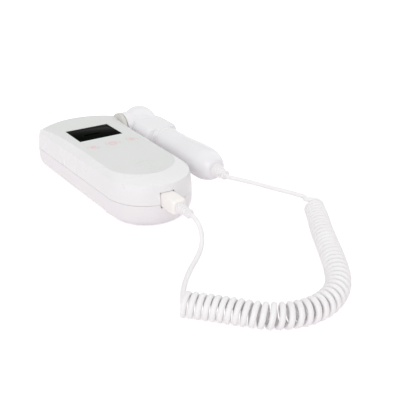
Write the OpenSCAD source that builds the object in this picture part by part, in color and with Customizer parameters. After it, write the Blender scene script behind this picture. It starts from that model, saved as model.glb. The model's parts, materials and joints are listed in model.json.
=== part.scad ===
// Pocket fetal doppler monitor: a hand-sized case with display and keys, a probe
// seated in a round cup on the case's right side, and a curly cord between them.
// Origin: centre of the flat underside. +Y points to the display end, +X to the
// probe, +Z up. Millimetres.

/* [Case] */
// Length of the case along Y
case_len = 168; // [160:1:176]
// Width of the case where its near end starts to round
near_w = 66; // [64:1:70]
// Width of the case at its far corners
far_w = 74; // [72:1:78]
// Height of the case
case_h = 36; // [35:0.5:39]
// Depth of the round near end
near_depth = 32; // [28:1:36]
// Plan radius of the far corners
far_corner_r = 11; // [8:1:15]
// Plan radius of the bowed far end
far_bow_r = 81; // [65:1:120]
// Height of the parting line between the shells
parting_z = 18.5; // [17.5:0.5:20]
// Width of the dark line between the shells
parting_gap = 0.3; // [0.2:0.1:0.5]
// Wall of both shells
wall = 2; // [1.8:0.1:2.4]
// Floor of the lower shell
floor_t = 3; // [2.8:0.1:3.6]
// Width of the rounded lower edge in plan
round_w = 9; // [6:0.5:10]
// Height of the rounded lower edge
round_h = 11; // [8:0.5:13]
// How far the shoulder line lies inside the widest outline
shoulder_in = 2; // [1:0.25:3]
// How far the shoulder line lies below the top
shoulder_drop = 3.5; // [2.5:0.25:4.5]
// Set-back of the tongue that joins the shells
lip_in = 1.1; // [0.9:0.1:1.3]
// Height of that tongue above the parting line
lip_h = 1.5; // [1:0.1:2.5]

/* [Top panel] */
// Half width of the panel at its round near end
panel_near_hw = 26.5; // [24:0.5:28]
// Half width of the panel at its far corners
panel_far_hw = 33.5; // [31:0.5:34]
// Distance from the case's near end to the panel's near end
panel_near_gap = 17; // [14:0.5:20]
// Distance from the case's far end to the panel's far edge
panel_far_gap = 6; // [5:0.5:9]
// Depth of the panel's round near end
panel_near_depth = 27; // [24:1:29]
// Plan radius of the panel's far corners
panel_corner_r = 4.5; // [3:0.5:7]
// Plan radius of the panel's far edge
panel_bow_r = 48; // [44:1:70]
// Thickness of the panel film
panel_t = 0.5; // [0.3:0.1:0.8]
// Gap round pieces that are set into one another
seat_gap = 0.15; // [0.1:0.05:0.2]

/* [Display] */
// Width of the display window
window_w = 38; // [34:0.5:40]
// Length of the display window along Y
window_l = 29.5; // [26:0.5:32]
// Place of the window's centre along X
window_x = -1; // [-2:0.5:1]
// Distance from the case's far end to the window's centre
window_far = 50.25; // [48:0.25:51]
// Thickness of the window
window_t = 1.5; // [1.2:0.1:1.7]
// Depth of the window's face below the panel
window_sink = 0.4; // [0.2:0.1:0.6]
// Width of the ledge that carries the window
window_ledge = 1.5; // [1:0.1:2]
// Thickness of the display module
module_t = 3; // [2:0.1:3.2]

/* [Keys] */
// Radius of the two outer keys
key_r = 4.5; // [3.5:0.25:5]
// Radius of the middle key
key_mid_r = 6; // [5:0.25:6.5]
// Distance of the outer keys from the middle key
key_pitch = 17; // [16.5:0.5:18]
// Distance from the window's centre back to the row of keys
key_back = 31.35; // [30.5:0.05:33]
// Travel of a key
key_travel = 0.4; // [0.2:0.05:0.5]
// Height of a key above the panel
key_proud = 0.15; // [0:0.05:0.4]
// Width of the flange that keeps a key in
key_flange = 1; // [0.6:0.1:1.2]
// Thickness of that flange
key_flange_t = 0.7; // [0.5:0.1:0.9]

/* [Board and speaker] */
// Distance from the top shell's ceiling down to the board's lower face
board_drop = 5.9; // [5.8:0.1:6.1]
// Thickness of the board
board_t = 1.6; // [1:0.1:1.6]
// Distance from the case outline to the board's edge
board_in = 4.6; // [4.4:0.1:6]
// Radius of the speaker
speaker_r = 12; // [10:0.5:12.5]
// Place of the speaker's centre along X
speaker_x = 1; // [-2:0.5:2]
// Distance from the case's near end to the speaker's centre
speaker_near = 29; // [28:0.5:31]
// Depth of the speaker below the top shell
speaker_t = 6; // [5:0.5:8]
// Gap between the speaker's rim and the top shell's ceiling
speaker_gap = 0.5; // [0.4:0.1:0.8]
// Width of the curved sound slots
slot_w = 1.1; // [0.8:0.1:1.4]
// Distance between the curved sound slots
slot_pitch = 4; // [3.5:0.1:4.2]
// Height of the panel's embossed arcs over the sound slots
emboss_h = 0.15; // [0.1:0.05:0.3]

/* [Battery bay] */
// Diameter of one cell
cell_d = 14.5; // [14:0.1:14.6]
// Length of one cell
cell_l = 50.5; // [49:0.5:51]
// Room for a contact at each end of a cell
contact_room = 2.25; // [2:0.05:2.5]
// Distance from the case's near end to the bay's centre
bay_near = 45; // [44.5:0.5:46]
// Wall of the bay
bay_wall = 2; // [1.6:0.1:2.2]
// Thickness of the battery door
door_t = 2; // [1.6:0.1:2.2]
// Width of the ledge that the door closes on
door_ledge = 1.4; // [1:0.1:1.6]
// Gap round the battery door
door_gap = 0.25; // [0.2:0.05:0.35]
// Radius of the door's hinge pins
door_pin_r = 0.5; // [0.4:0.05:0.6]

/* [Screws] */
// Distance of the case screws from the middle
case_screw_x = 26; // [24.5:0.5:26]
// Distance of the near case screws from the case's near end
case_screw_near = 44; // [43:0.5:46]
// Distance of the far case screws from the case's far end
case_screw_far = 22; // [20:0.5:24]
// Radius of the case screw bosses
boss_r = 3.25; // [3:0.05:3.4]
// Distance of the board screws from the middle
board_screw_x = 24.5; // [23.5:0.5:24.5]
// Distance of the near board screws from the case's near end
board_screw_near = 58; // [56:0.5:60]
// Distance of the far board screws from the case's far end
board_screw_far = 70; // [69:0.5:72]

/* [Probe cup] */
// Outer radius of the cup
cup_r = 12.5; // [12:0.25:13]
// Distance of the cup's centre below the top of the case
cup_drop = 8; // [7.5:0.25:9]
// Distance of the cup's centre from the case's far end
cup_far = 29; // [28:0.5:30]
// Place of the cup's back along X
cup_back_x = 33; // [32:0.25:33.5]
// Gap between the cup's rim and the head's barrel
rim_gap = 1; // [0.6:0.1:1.2]
// Wall of the cup
cup_wall = 1.6; // [1.2:0.1:1.8]
// Thickness of the cup's back
cup_back_t = 1.4; // [1:0.1:1.6]

/* [Probe] */
// Distance of the probe's axis from the case's centre line
probe_x = 54.3; // [53.8:0.1:58]
// Tilt of the probe, its cord end lower
probe_tilt = 2; // [0:0.25:2.5]
// Radius of the probe's head, barrel and ball
head_r = 15.8; // [15:0.1:16]
// Distance from the ball's centre to the neck
head_l = 45; // [42:1:48]
// Length of the head's rounding towards the neck
nose_l = 8; // [6:0.5:10]
// Height of the flat on the head above the axis
flat_h = 9.1; // [8.5:0.1:11]
// Wall of the head and of the handle
probe_wall = 1.8; // [1.5:0.1:2.2]
// Radius of the neck ring
neck_r = 9.3; // [8.8:0.1:10]
// Width of the neck ring
neck_w = 4; // [3:0.25:5]
// Radius of the spigot that joins handle and head
spigot_r = 7.4; // [6.5:0.1:7.6]
// Length of that spigot inside the head
spigot_l = 7; // [5:0.5:9]
// Radius of the handle next to the neck
handle_r = 11.3; // [10.8:0.1:12]
// Radius of the handle at its belly
belly_r = 13; // [12.5:0.1:13.5]
// Length of the handle
handle_l = 70; // [68:1:74]
// Length of the handle's rounded end
handle_end_l = 15; // [12:1:18]
// Radius of the housing round the transducer
housing_r = 12.4; // [12:0.1:13]
// How far that housing stands out beyond the barrel
housing_out = 0.3; // [0.2:0.1:0.4]
// Radius of the transducer's face
face_r = 10.4; // [9.5:0.1:10.5]
// Gap between the face and the back of the cup
face_gap = 0.3; // [0.2:0.05:0.6]

/* [Cord] */
// Diameter of the cord
cord_d = 3.5; // [3.2:0.1:3.6]
// Outer diameter of the curls
curl_od = 15.5; // [15:0.1:16]
// Number of curls
curls = 46; // [40:1:48]
// Length of a strain relief at the plug
plug_relief_l = 12; // [10:1:12]
// Length of the strain relief at the probe
probe_relief_l = 12; // [11:1:14]
// Number of ribs on a strain relief
relief_ribs = 4; // [3:1:5]

/* [Plug] */
// Width of the plug
plug_w = 10.8; // [9.5:0.1:11.5]
// Height of the plug
plug_h = 11; // [10:0.1:11.4]
// Distance of the plug's centre below the board
plug_drop = 5.8; // [5.4:0.1:6]
// Place of the plug along X
plug_x = -2; // [-3:0.5:0]
// Distance that the plug stands out of the case
plug_out = 15; // [13:0.5:16]
// Chamfer along the plug's edges
plug_chamfer = 1.2; // [0.6:0.1:1.6]
// Width of the plug's nose
nose_w = 9; // [7.5:0.1:9.2]
// Height of the plug's nose
nose_h = 7; // [6:0.1:8]
// Length of the plug's nose
nose_reach = 8; // [7:0.1:8.2]
// Length of the jack
jack_l = 9.5; // [9:0.1:9.5]

/* [Hidden] */

// Cutting tools reach past what they cut by this much
over = 1;

shell_white = [0.93, 0.93, 0.94];
panel_grey = [0.87, 0.88, 0.88];
warm_white = [0.97, 0.95, 0.93];
cream = [0.93, 0.91, 0.85];
print_pink = [0.95, 0.72, 0.72];
board_green = [0.1, 0.4, 0.2];
metal = [0.75, 0.75, 0.76];

// Lengthways places that follow from the case
near_y = -case_len / 2;
far_y = case_len / 2;
// Plan outlines: half width, centre and depth of the near end, half width, radius
// and bow radius of the far end, far limit, and how late the sides flare
case_plan = [near_w / 2, near_y + near_depth, near_depth, far_w / 2, far_corner_r, far_bow_r, far_y, 1];
panel_plan = [
    panel_near_hw, near_y + panel_near_gap + panel_near_depth, panel_near_depth,
    panel_far_hw, panel_corner_r, panel_bow_r, far_y - panel_far_gap, 4
];
arc_steps = 24;
side_steps = 6;
corner_steps = 5;
bow_steps = 6;

// Heights in the case
shoulder_z = case_h - shoulder_drop;
recess_z = case_h - panel_t;
ceiling_z = recess_z - wall;
lip_z = parting_z + lip_h;
board_z = ceiling_z - board_drop;
board_top = board_z + board_t;
slope_gap = 0.3;

// Display, keys and speaker: places along the case
window_y = far_y - window_far;
key_y = window_y - key_back;
speaker_y = near_y + speaker_near;
speaker_z = ceiling_z - speaker_gap - speaker_t;
slot_start = 35;
slot_sweep = 110;

// Battery bay
cell_gap = 0.4;
bay_y = near_y + bay_near;
bay_hw = cell_d + 0.7;
bay_hl = cell_l / 2 + contact_room;
bay_top = door_t + cell_gap + cell_d + cell_gap;
door_hw = bay_hw + door_ledge;
door_hl = bay_hl + door_ledge + 0.5;
door_r = door_t / 2;
pin_l = 1.2;
pin_gap = 0.06;
plus_room = 1.85;
contact_hw = cell_d / 2 - 2.25;
contact_plate_t = 0.4;
spring_r = contact_hw - 1;
spring_tip_r = spring_r - 1.5;

// Screws
case_screw_ys = [near_y + case_screw_near, far_y - case_screw_far];
board_screw_ys = [near_y + board_screw_near, far_y - board_screw_far];
screw_head_r = 2.7;
screw_head_h = 2.1;
screw_seat_z = 8;
screw_shank_r = 1.2;
screw_reach = 9;
board_screw_head_r = 2;
board_screw_head_h = 1.4;
board_screw_r = 0.95;
board_screw_reach = 3.5;
board_boss_r = 2.5;

// Keys: distance along X from the case's centre line
key_mid_x = 0.3;
key_left_x = key_mid_x - key_pitch;
key_right_x = key_mid_x + key_pitch;
key_top = case_h + key_proud;
key_base = ceiling_z - seat_gap - key_flange_t;
switch_top = key_base - key_travel - 0.1;
switch_w = 6;

// Plug and jack
plug_z = board_z - plug_drop;
plug_tip_y = near_y - plug_out;
plug_back_y = near_y + wall + 1.5;
nose_tip_y = plug_back_y + nose_reach;
jack_front_y = plug_back_y + 1.5;
jack_gap = 0.2;
jack_wall_x = 1.6;
jack_wall_z = 2.2;
contact_count = 4;
contact_pitch = 1.8;
contact_w = 0.8;
contact_l = 5;
contact_t = 0.5;

// Probe: its own frame has the ball's centre at zero and its axis along Y
cup_y = far_y - cup_far;
cup_z = case_h - cup_drop;
cup_l = probe_x - head_r - rim_gap - cup_back_x;
nose_start = -head_l + nose_l;
neck_start = -head_l - neck_w;
handle_end = neck_start - handle_l;
face_tip = cup_back_x + cup_back_t + face_gap - probe_x;
face_l = 8;
face_back = face_tip + face_l;
// The barrel ends just past the ball's widest place, and the ball lies just inside it
barrel_end = 0.4;
ball_in = 0.05;
crystal_t = 1.2;
crystal_r = face_r - 2.5;
relief_r = 6.2;
relief_end_r = 3.6;
probe_board_hw = spigot_r - 0.6;
probe_board_t = 1.6;
probe_board_l = 0.66 * handle_l;
probe_board_end = neck_start - 2 * probe_wall - 0.4;
handle_end_t = 4;
rail_l = 18;
rail_h = 3;

// Cord: it leaves the plug's strain relief here and comes to rest on the table
cord_exit = [plug_x, plug_tip_y - plug_relief_l, plug_z];
rest_z = cord_d / 2 + 0.15;
// Route from the exit: offset along X and Y, and share of the exit's height
plug_route = [
    [0, 0, 1], [0, -3.5, 1], [0.2, -7, 0.93], [0.4, -10, 0.81], [0.3, -12.4, 0.65],
    [-0.4, -14.5, 0.47], [-2, -16.6, 0.3], [-5, -19, 0.14], [-9.5, -22, 0.035],
    [-14.5, -25.5, 0], [-20, -30, 0], [-26, -35.5, 0], [-31.5, -41, 0], [-36.5, -46.8, 0],
    [-40.5, -52.5, 0], [-43.5, -57.5, 0]
];
// Route from the curls to the probe: share of the way, offset sideways and upwards
probe_route = [
    [0.068, 1.5, 0.2], [0.171, 2.1, 0], [0.285, 2, 0], [0.404, 1.5, -0.1], [0.524, 1, 0],
    [0.642, 0.4, 0.2], [0.756, -0.3, 0.3], [0.855, -1.2, 0.3], [0.929, -1.4, 0.2]
];
// Axis of the curls from the exit, with the same number of curls between points
curl_axis = [
    [-48, -64], [-36.5, -75.5], [-26.5, -87.5], [-14.5, -101], [2.5, -108.5], [21, -108.5],
    [38, -100], [50, -86], [59.5, -72.5], [68.5, -59.5], [77.5, -46], [87.5, -33.5],
    [96.5, -20.5]
];
curl_r = (curl_od - cord_d) / 2;
curl_z = curl_od / 2;
curl_rings = 8;
curl_sides = 6;
tube_sides = 8;

// ---- Functions ----

function far_cx(plan) = plan[3] - plan[4];
function bow_cy(plan) = plan[6] - plan[5];
function far_cy(plan) = bow_cy(plan) + sqrt(pow(plan[5] - plan[4], 2) - pow(far_cx(plan), 2));
function bow_angle(plan) = atan2(far_cy(plan) - bow_cy(plan), far_cx(plan));
// Half width of a plan at a share t of the way from its near end to its far corners
function side_hw(plan, t) = plan[0] + (plan[3] - plan[0]) * pow(t, plan[7]);
function side_y(plan, t) = plan[1] + (far_cy(plan) - plan[1]) * t;

// Right half of a plan drawn in by d, from the middle of the near end to the far end
function plan_half(plan, d) = concat(
    [for (k = [1:arc_steps / 2])
        let (a = 90 * k / (arc_steps / 2))
        [(plan[0] - d) * sin(a), plan[1] - (plan[2] - d) * cos(a)]],
    [for (k = [1:side_steps - 1]) [side_hw(plan, k / side_steps) - d, side_y(plan, k / side_steps)]],
    [for (k = [0:corner_steps])
        let (a = bow_angle(plan) * k / corner_steps)
        [far_cx(plan) + (plan[4] - d) * cos(a), far_cy(plan) + (plan[4] - d) * sin(a)]],
    [for (k = [1:bow_steps / 2 - 1])
        let (a = bow_angle(plan) + (90 - bow_angle(plan)) * k / (bow_steps / 2))
        [(plan[5] - d) * cos(a), bow_cy(plan) + (plan[5] - d) * sin(a)]]
);
// Closed plan, anticlockwise from the middle of the near end
function plan_points(plan, d) =
    let (half = plan_half(plan, d), n = len(half))
    concat(
        [[0, plan[1] - plan[2] + d]], half, [[0, plan[6] - d]],
        [for (k = [n - 1:-1:0]) [-half[k].x, half[k].y]]
    );
function ring(plan, d, z) = [for (p = plan_points(plan, d)) [p.x, p.y, z]];

// Quarter round of the lower edge, a step at a time, drawn in by d and raised by the floor
function lower_round(d, floor_z) = [
    for (a = [0:18:90])
        ring(case_plan, round_w - (round_w - d) * sin(a), floor_z + (round_h - floor_z) * (1 - cos(a)))
];

function unit(v) = v / norm(v);
// Point on a smooth curve that follows evenly timed points and ends at the outer two
function spline_at(pts, u) =
    let (
        n = len(pts) - 1,
        i = min(n - 1, max(0, floor(u * n))),
        t = u * n - i,
        a = i == 0 ? 2 * pts[0] - pts[1] : pts[i - 1],
        b = pts[i],
        c = pts[i + 1],
        d = i == n - 1 ? 2 * pts[n] - pts[n - 1] : pts[i + 2]
    )
    (pow(1 - t, 3) * a + (3 * t * t * t - 6 * t * t + 4) * b
        + (1 + 3 * t + 3 * t * t - 3 * t * t * t) * c + t * t * t * d) / 6;

// Point of the curly cord's centre line after k rings
function curl_at(k) =
    let (
        u = k / (curls * curl_rings),
        c = spline_at(curl_axis, u),
        ahead = unit(spline_at(curl_axis, u + 0.002) - spline_at(curl_axis, u - 0.002)),
        side = [ahead.y, -ahead.x],
        a = 360 * k / curl_rings - 90
    )
    [
        cord_exit.x + c.x + curl_r * side.x * cos(a),
        cord_exit.y + c.y + curl_r * side.y * cos(a),
        curl_z + curl_r * sin(a)
    ];
curl_last = curls * curl_rings + curl_rings / 2;
curl_body = [for (k = [0:curl_last]) curl_at(k)];
// Straight ends, one cord diameter long, that meet the two stretches
curl_in = unit(curl_at(0.5) - curl_at(-0.5));
curl_out = unit(curl_at(curl_last + 0.5) - curl_at(curl_last - 0.5));
curl_start = curl_body[0] - cord_d * curl_in;
curl_end = curl_body[curl_last] + cord_d * curl_out;
curl_path = concat([curl_start], curl_body, [curl_end]);
plug_path = concat(
    [for (p = plug_route)
        [cord_exit.x + p.x, cord_exit.y + p.y, rest_z + (plug_z - rest_z) * p.z]],
    [curl_start - cord_d * curl_in, curl_start]
);
probe_entry = probe_point([0, handle_end - probe_relief_l, 0]);
probe_axis = probe_point([0, 1, 0]) - probe_point([0, 0, 0]);
probe_span = probe_entry - curl_end;
probe_side = unit([probe_span.y, -probe_span.x, 0]);
probe_path = concat(
    [curl_end, curl_end + cord_d * curl_out],
    [for (p = probe_route) curl_end + p.x * probe_span + p.y * probe_side + [0, 0, p.z]],
    [probe_entry - cord_d * probe_axis, probe_entry]
);

// A point of the probe's own frame in the case's frame
function probe_point(p) = [
    probe_x + p.x,
    cup_y + p.y * cos(probe_tilt) - p.z * sin(probe_tilt),
    cup_z + p.y * sin(probe_tilt) + p.z * cos(probe_tilt)
];

// Direction of a path at its point k
function path_dir(path, k) =
    unit(path[min(k + 1, len(path) - 1)] - path[max(k - 1, 0)]);
// Least distance between the surfaces of neighbouring curls
function curl_gap() = min([
    for (k = [0:curl_last - curl_rings - 2]) for (j = [curl_rings - 2:curl_rings + 2])
        norm(curl_body[k] - curl_body[k + j]) - cord_d
]);

// ---- Shapes shared by several pieces ----

// Solid through rings with equal numbers of points
module loft(rings) {
    n = len(rings[0]);
    last = len(rings) - 1;
    sides = [
        for (k = [0:last - 1]) for (i = [0:n - 1])
            let (j = (i + 1) % n)
            each [
                [k * n + i, (k + 1) * n + i, (k + 1) * n + j],
                [k * n + i, (k + 1) * n + j, k * n + j]
            ]
    ];
    polyhedron(
        points = [for (r = rings) each r],
        faces = concat([[for (i = [0:n - 1]) i]], sides, [[for (i = [n - 1:-1:0]) last * n + i]])
    );
}

// Tube swept along a path, square to it at both ends
module tube(path, d, sides) {
    loft([
        for (k = [0:len(path) - 1])
            let (
                ahead = path_dir(path, k),
                across = unit(cross(ahead, [0, 0, 1])),
                up = cross(across, ahead)
            )
            [for (i = [0:sides - 1])
                let (a = 360 * i / sides)
                path[k] + d / 2 * (across * cos(a) + up * sin(a))]
    ]);
}

// Box given by its low and high corners
module block(low, high) {
    translate(low)
        cube(high - low);
}

// Solid of a plan drawn in by d, between two heights
module plan_slab(plan, d, low, high) {
    translate([0, 0, low])
        linear_extrude(high - low)
            polygon(plan_points(plan, d));
}

// Turned solid with its axis along +Y, given as [radius, place] points
module turned_y(profile) {
    rotate([-90, 0, 0])
        rotate_extrude($fn = 64)
            polygon(profile);
}

// Turned solid with its axis along +X, given as [radius, place] points
module turned_x(profile) {
    rotate([0, 90, 0])
        rotate_extrude($fn = 64)
            polygon(profile);
}

// Cylinder along +X that starts at a point
module rod_x(from, r, length) {
    translate(from)
        rotate([0, 90, 0])
            cylinder(r = r, h = length, $fn = 64);
}

// Round bar standing on a point
module post(x, y, low, high, r) {
    translate([x, y, low])
        cylinder(r = r, h = high - low, $fn = 48);
}

// Children at each case screw
module at_case_screws() {
    for (x = [-case_screw_x, case_screw_x])
        for (y = case_screw_ys)
            translate([x, y, 0])
                children();
}

// Children at each board screw
module at_board_screws() {
    for (x = [-board_screw_x, board_screw_x])
        for (y = board_screw_ys)
            translate([x, y, 0])
                children();
}

// Space that the probe's cup takes out of the case
module cup_space() {
    rod_x([cup_back_x - seat_gap, cup_y, cup_z], cup_r + seat_gap, probe_x - cup_back_x);
}

// Space for the plug in the case's near wall
module plug_space() {
    hw = plug_w / 2 + jack_gap + 0.1;
    hh = plug_h / 2 + jack_gap + 0.1;
    block([plug_x - hw, near_y - over, plug_z - hh], [plug_x + hw, jack_front_y, plug_z + hh]);
}

// Curved sound slots between two heights
module sound_slots(low, high) {
    for (k = [1:3])
        for (turn = [0, 180])
            translate([speaker_x, speaker_y, low])
                rotate([0, 0, turn + slot_start])
                    rotate_extrude(angle = slot_sweep, $fn = 64)
                        translate([k * slot_pitch - slot_w, 0])
                            square([slot_w, high - low]);
}

// ---- Case ----

module bottom_shell() {
    edge_z = parting_z - parting_gap / 2;
    color(shell_white)
    difference() {
        union() {
            loft(concat(
                lower_round(0, 0),
                [
                    ring(case_plan, 0, edge_z), ring(case_plan, lip_in, edge_z),
                    ring(case_plan, lip_in, lip_z), ring(case_plan, wall, lip_z)
                ],
                [for (k = [5:-1:0]) lower_round(wall, floor_t)[k]]
            ));
            block(
                [-bay_hw - bay_wall, bay_y - bay_hl - bay_wall, floor_t / 3],
                [bay_hw + bay_wall, bay_y + bay_hl + bay_wall, bay_top + bay_wall]
            );
            at_case_screws()
                post(0, 0, floor_t - 0.1, parting_z, boss_r);
        }
        block([-bay_hw, bay_y - bay_hl, -over], [bay_hw, bay_y + bay_hl, bay_top]);
        block(
            [-door_hw - door_gap, bay_y - door_hl - door_gap, -over],
            [door_hw + door_gap, bay_y + door_hl + door_gap, door_t + 0.05]
        );
        for (side = [0, 1])
            mirror([side, 0, 0])
                rod_x(
                    [door_hw, bay_y - door_hl + door_r, door_r],
                    door_pin_r + pin_gap, pin_l + door_gap
                );
        at_case_screws() {
            post(0, 0, -over, parting_z + over, screw_shank_r + 0.3);
            post(0, 0, -over, screw_seat_z, screw_head_r + 0.3);
        }
        cup_space();
        plug_space();
    }
}

module top_shell() {
    edge_z = parting_z + parting_gap / 2;
    rebate_z = lip_z + 0.2;
    rebate_in = lip_in - 0.1;
    color(shell_white)
    difference() {
        union() {
            loft(concat(
                [
                    ring(panel_plan, wall, ceiling_z),
                    ring(case_plan, shoulder_in + wall, shoulder_z - wall),
                    ring(case_plan, wall, rebate_z), ring(case_plan, rebate_in, rebate_z),
                    ring(case_plan, rebate_in, edge_z), ring(case_plan, 0, edge_z)
                ],
                [for (u = [0.4, 0.7, 0.9, 1])
                    ring(case_plan, shoulder_in * u * u, parting_z + (shoulder_z - parting_z) * u)],
                [ring(panel_plan, -slope_gap, case_h)]
            ));
            at_case_screws()
                post(0, 0, parting_z, ceiling_z + 0.2, boss_r);
            at_board_screws()
                post(0, 0, board_top, ceiling_z + 0.2, board_boss_r);
        }
        plan_slab(panel_plan, -seat_gap, recess_z, case_h + over);
        block(
            [window_x - window_w / 2 - seat_gap, window_y - window_l / 2 - seat_gap,
                case_h - window_sink - window_t],
            [window_x + window_w / 2 + seat_gap, window_y + window_l / 2 + seat_gap, case_h + over]
        );
        block(
            [window_x - window_w / 2 + window_ledge, window_y - window_l / 2 + window_ledge,
                ceiling_z - over],
            [window_x + window_w / 2 - window_ledge, window_y + window_l / 2 - window_ledge, case_h]
        );
        post(key_left_x, key_y, ceiling_z - over, case_h, key_r + seat_gap);
        post(key_mid_x, key_y, ceiling_z - over, case_h, key_mid_r + seat_gap);
        post(key_right_x, key_y, ceiling_z - over, case_h, key_r + seat_gap);
        sound_slots(ceiling_z - over, case_h);
        at_case_screws()
            post(0, 0, parting_z - over, parting_z + screw_reach + over, screw_shank_r + 0.05);
        at_board_screws()
            post(0, 0, board_top - over, board_top + board_screw_reach + 0.3, board_screw_r + 0.05);
        cup_space();
        plug_space();
    }
}

module top_panel() {
    color(panel_grey)
    difference() {
        union() {
            plan_slab(panel_plan, 0, recess_z, case_h);
            sound_slots(recess_z + panel_t / 2, case_h + emboss_h);
        }
        block(
            [window_x - window_w / 2 - seat_gap, window_y - window_l / 2 - seat_gap, recess_z - over],
            [window_x + window_w / 2 + seat_gap, window_y + window_l / 2 + seat_gap, case_h + over]
        );
        post(key_left_x, key_y, recess_z - over, case_h + over, key_r + seat_gap);
        post(key_mid_x, key_y, recess_z - over, case_h + over, key_mid_r + seat_gap);
        post(key_right_x, key_y, recess_z - over, case_h + over, key_r + seat_gap);
        cup_space();
    }
}

module display_window() {
    top_z = case_h - window_sink;
    color([0.05, 0.08, 0.06])
        block(
            [window_x - window_w / 2, window_y - window_l / 2, top_z - window_t],
            [window_x + window_w / 2, window_y + window_l / 2, top_z]
        );
}

module display_module() {
    hw = window_w / 2 + 0.5;
    hl = window_l / 2 + 1.5;
    top_z = ceiling_z - 0.1;
    base_z = top_z - module_t;
    color([0.2, 0.22, 0.2])
    union() {
        block([window_x - hw, window_y - hl, base_z], [window_x + hw, window_y + hl, top_z]);
        for (x = [-hw + 2, hw - 2])
            for (y = [-hl + 2, hl - 2])
                post(window_x + x, window_y + y, board_top, base_z + 0.1, 1.2);
    }
}

// Round key with the flange that keeps it under the top shell
module key(x, r) {
    color(print_pink)
    translate([x, key_y, key_base])
    rotate_extrude($fn = 64)
        polygon([
            [0, 0], [r + key_flange, 0], [r + key_flange, key_flange_t], [r, key_flange_t],
            [r, key_top - key_base - 0.2], [r - 0.2, key_top - key_base], [0, key_top - key_base]
        ]);
}

module key_left() {
    key(key_left_x, key_r);
}

module key_middle() {
    key(key_mid_x, key_mid_r);
}

module key_right() {
    key(key_right_x, key_r);
}

module key_switches() {
    color([0.15, 0.15, 0.15])
    for (x = [key_left_x, key_mid_x, key_right_x])
        translate([x, key_y, 0]) {
            block([-switch_w / 2, -switch_w / 2, board_top], [switch_w / 2, switch_w / 2, switch_top - 0.6]);
            post(0, 0, switch_top - 0.7, switch_top, 1.6);
        }
}

// ---- Inside the case ----

module main_board() {
    color(board_green)
    difference() {
        plan_slab(case_plan, board_in, board_z, board_top);
        post(speaker_x, speaker_y, board_z - over, board_top + over, speaker_r + 1);
        at_case_screws()
            post(0, 0, board_z - over, board_top + over, boss_r + 0.6);
        at_board_screws()
            post(0, 0, board_z - over, board_top + over, board_screw_r + 0.15);
    }
}

module board_screws() {
    color(metal)
    at_board_screws() {
        post(0, 0, board_z - board_screw_head_h, board_z, board_screw_head_r);
        post(0, 0, board_z - 0.1, board_top + board_screw_reach, board_screw_r);
    }
}

module case_screws() {
    color(metal)
    at_case_screws() {
        post(0, 0, screw_seat_z - screw_head_h, screw_seat_z, screw_head_r);
        post(0, 0, screw_seat_z - 0.1, parting_z + screw_reach, screw_shank_r);
    }
}

module speaker_frame() {
    magnet_r = speaker_r / 2;
    rim = 1.5;
    color(metal)
    translate([speaker_x, speaker_y, speaker_z])
    rotate_extrude($fn = 64)
        polygon([
            [0, 0], [magnet_r, 0], [magnet_r, speaker_t * 0.45], [speaker_r, speaker_t * 0.75],
            [speaker_r, speaker_t], [speaker_r - rim, speaker_t], [speaker_r - rim, speaker_t * 0.8],
            [magnet_r - rim, speaker_t * 0.55], [0, speaker_t * 0.55]
        ]);
}

module speaker_cone() {
    rim = 1.5;
    r = speaker_r - rim;
    color([0.2, 0.2, 0.2])
    translate([speaker_x, speaker_y, speaker_z])
    rotate_extrude($fn = 64)
        polygon([
            [0, speaker_t * 0.55], [speaker_r / 2 - rim, speaker_t * 0.55],
            [r, speaker_t * 0.8], [r, speaker_t * 0.88], [speaker_r / 2 - rim, speaker_t * 0.65],
            [0, speaker_t * 0.72]
        ]);
}

// Children at each cell's axis, the second cell the other way round
module at_cells() {
    for (turn = [0, 180])
        translate([0, bay_y, door_t + cell_gap + cell_d / 2])
            rotate([0, 0, turn])
                translate([-cell_d / 2 - 0.2, 0, 0])
                    children();
}

module battery_cells() {
    nub_l = 1;
    color([0.45, 0.5, 0.55])
    at_cells()
        translate([0, bay_hl - contact_room + plus_room - cell_l, 0])
            turned_y([
                [0, 0], [cell_d / 2 - 0.5, 0], [cell_d / 2, 0.5], [cell_d / 2, cell_l - nub_l - 0.5],
                [cell_d / 2 - 0.5, cell_l - nub_l], [2.6, cell_l - nub_l], [2.6, cell_l], [0, cell_l]
            ]);
}

module battery_contacts() {
    hw = contact_hw;
    spring_l = 2 * bay_hl - contact_plate_t - (contact_room - plus_room) - cell_l;
    color(metal)
    at_cells() {
        block([-hw, bay_hl - contact_plate_t, -hw], [hw, bay_hl, hw]);
        block([-hw, -bay_hl, -hw], [hw, -bay_hl + contact_plate_t, hw]);
        translate([0, -bay_hl + contact_plate_t, 0])
            turned_y([[0, 0], [spring_r, 0], [spring_tip_r, spring_l], [0, spring_l]]);
    }
}

module battery_door() {
    pin_y = bay_y - door_hl + door_r;
    grip_r = 9;
    color(shell_white)
    difference() {
        union() {
            block([-door_hw, pin_y, 0], [door_hw, bay_y + door_hl, door_t]);
            rod_x([-door_hw, pin_y, door_r], door_r, 2 * door_hw);
            rod_x([-door_hw - pin_l, pin_y, door_r], door_pin_r, 2 * door_hw + 2 * pin_l);
        }
        // Finger notch under the opening edge
        translate([0, bay_y + door_hl + grip_r - 3, -over])
            cylinder(r = grip_r, h = over + 0.8, $fn = 64);
    }
}

// ---- Probe cup and jack ----

module probe_cup() {
    color(cream)
    translate([cup_back_x, cup_y, cup_z])
    rotate([0, 90, 0])
    rotate_extrude($fn = 96)
        polygon([
            [0, 0], [cup_r - 0.6, 0], [cup_r, 0.6], [cup_r, cup_l - 0.6], [cup_r - 0.6, cup_l],
            [cup_r - cup_wall, cup_l], [cup_r - cup_wall, cup_back_t], [0, cup_back_t]
        ]);
}

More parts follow.
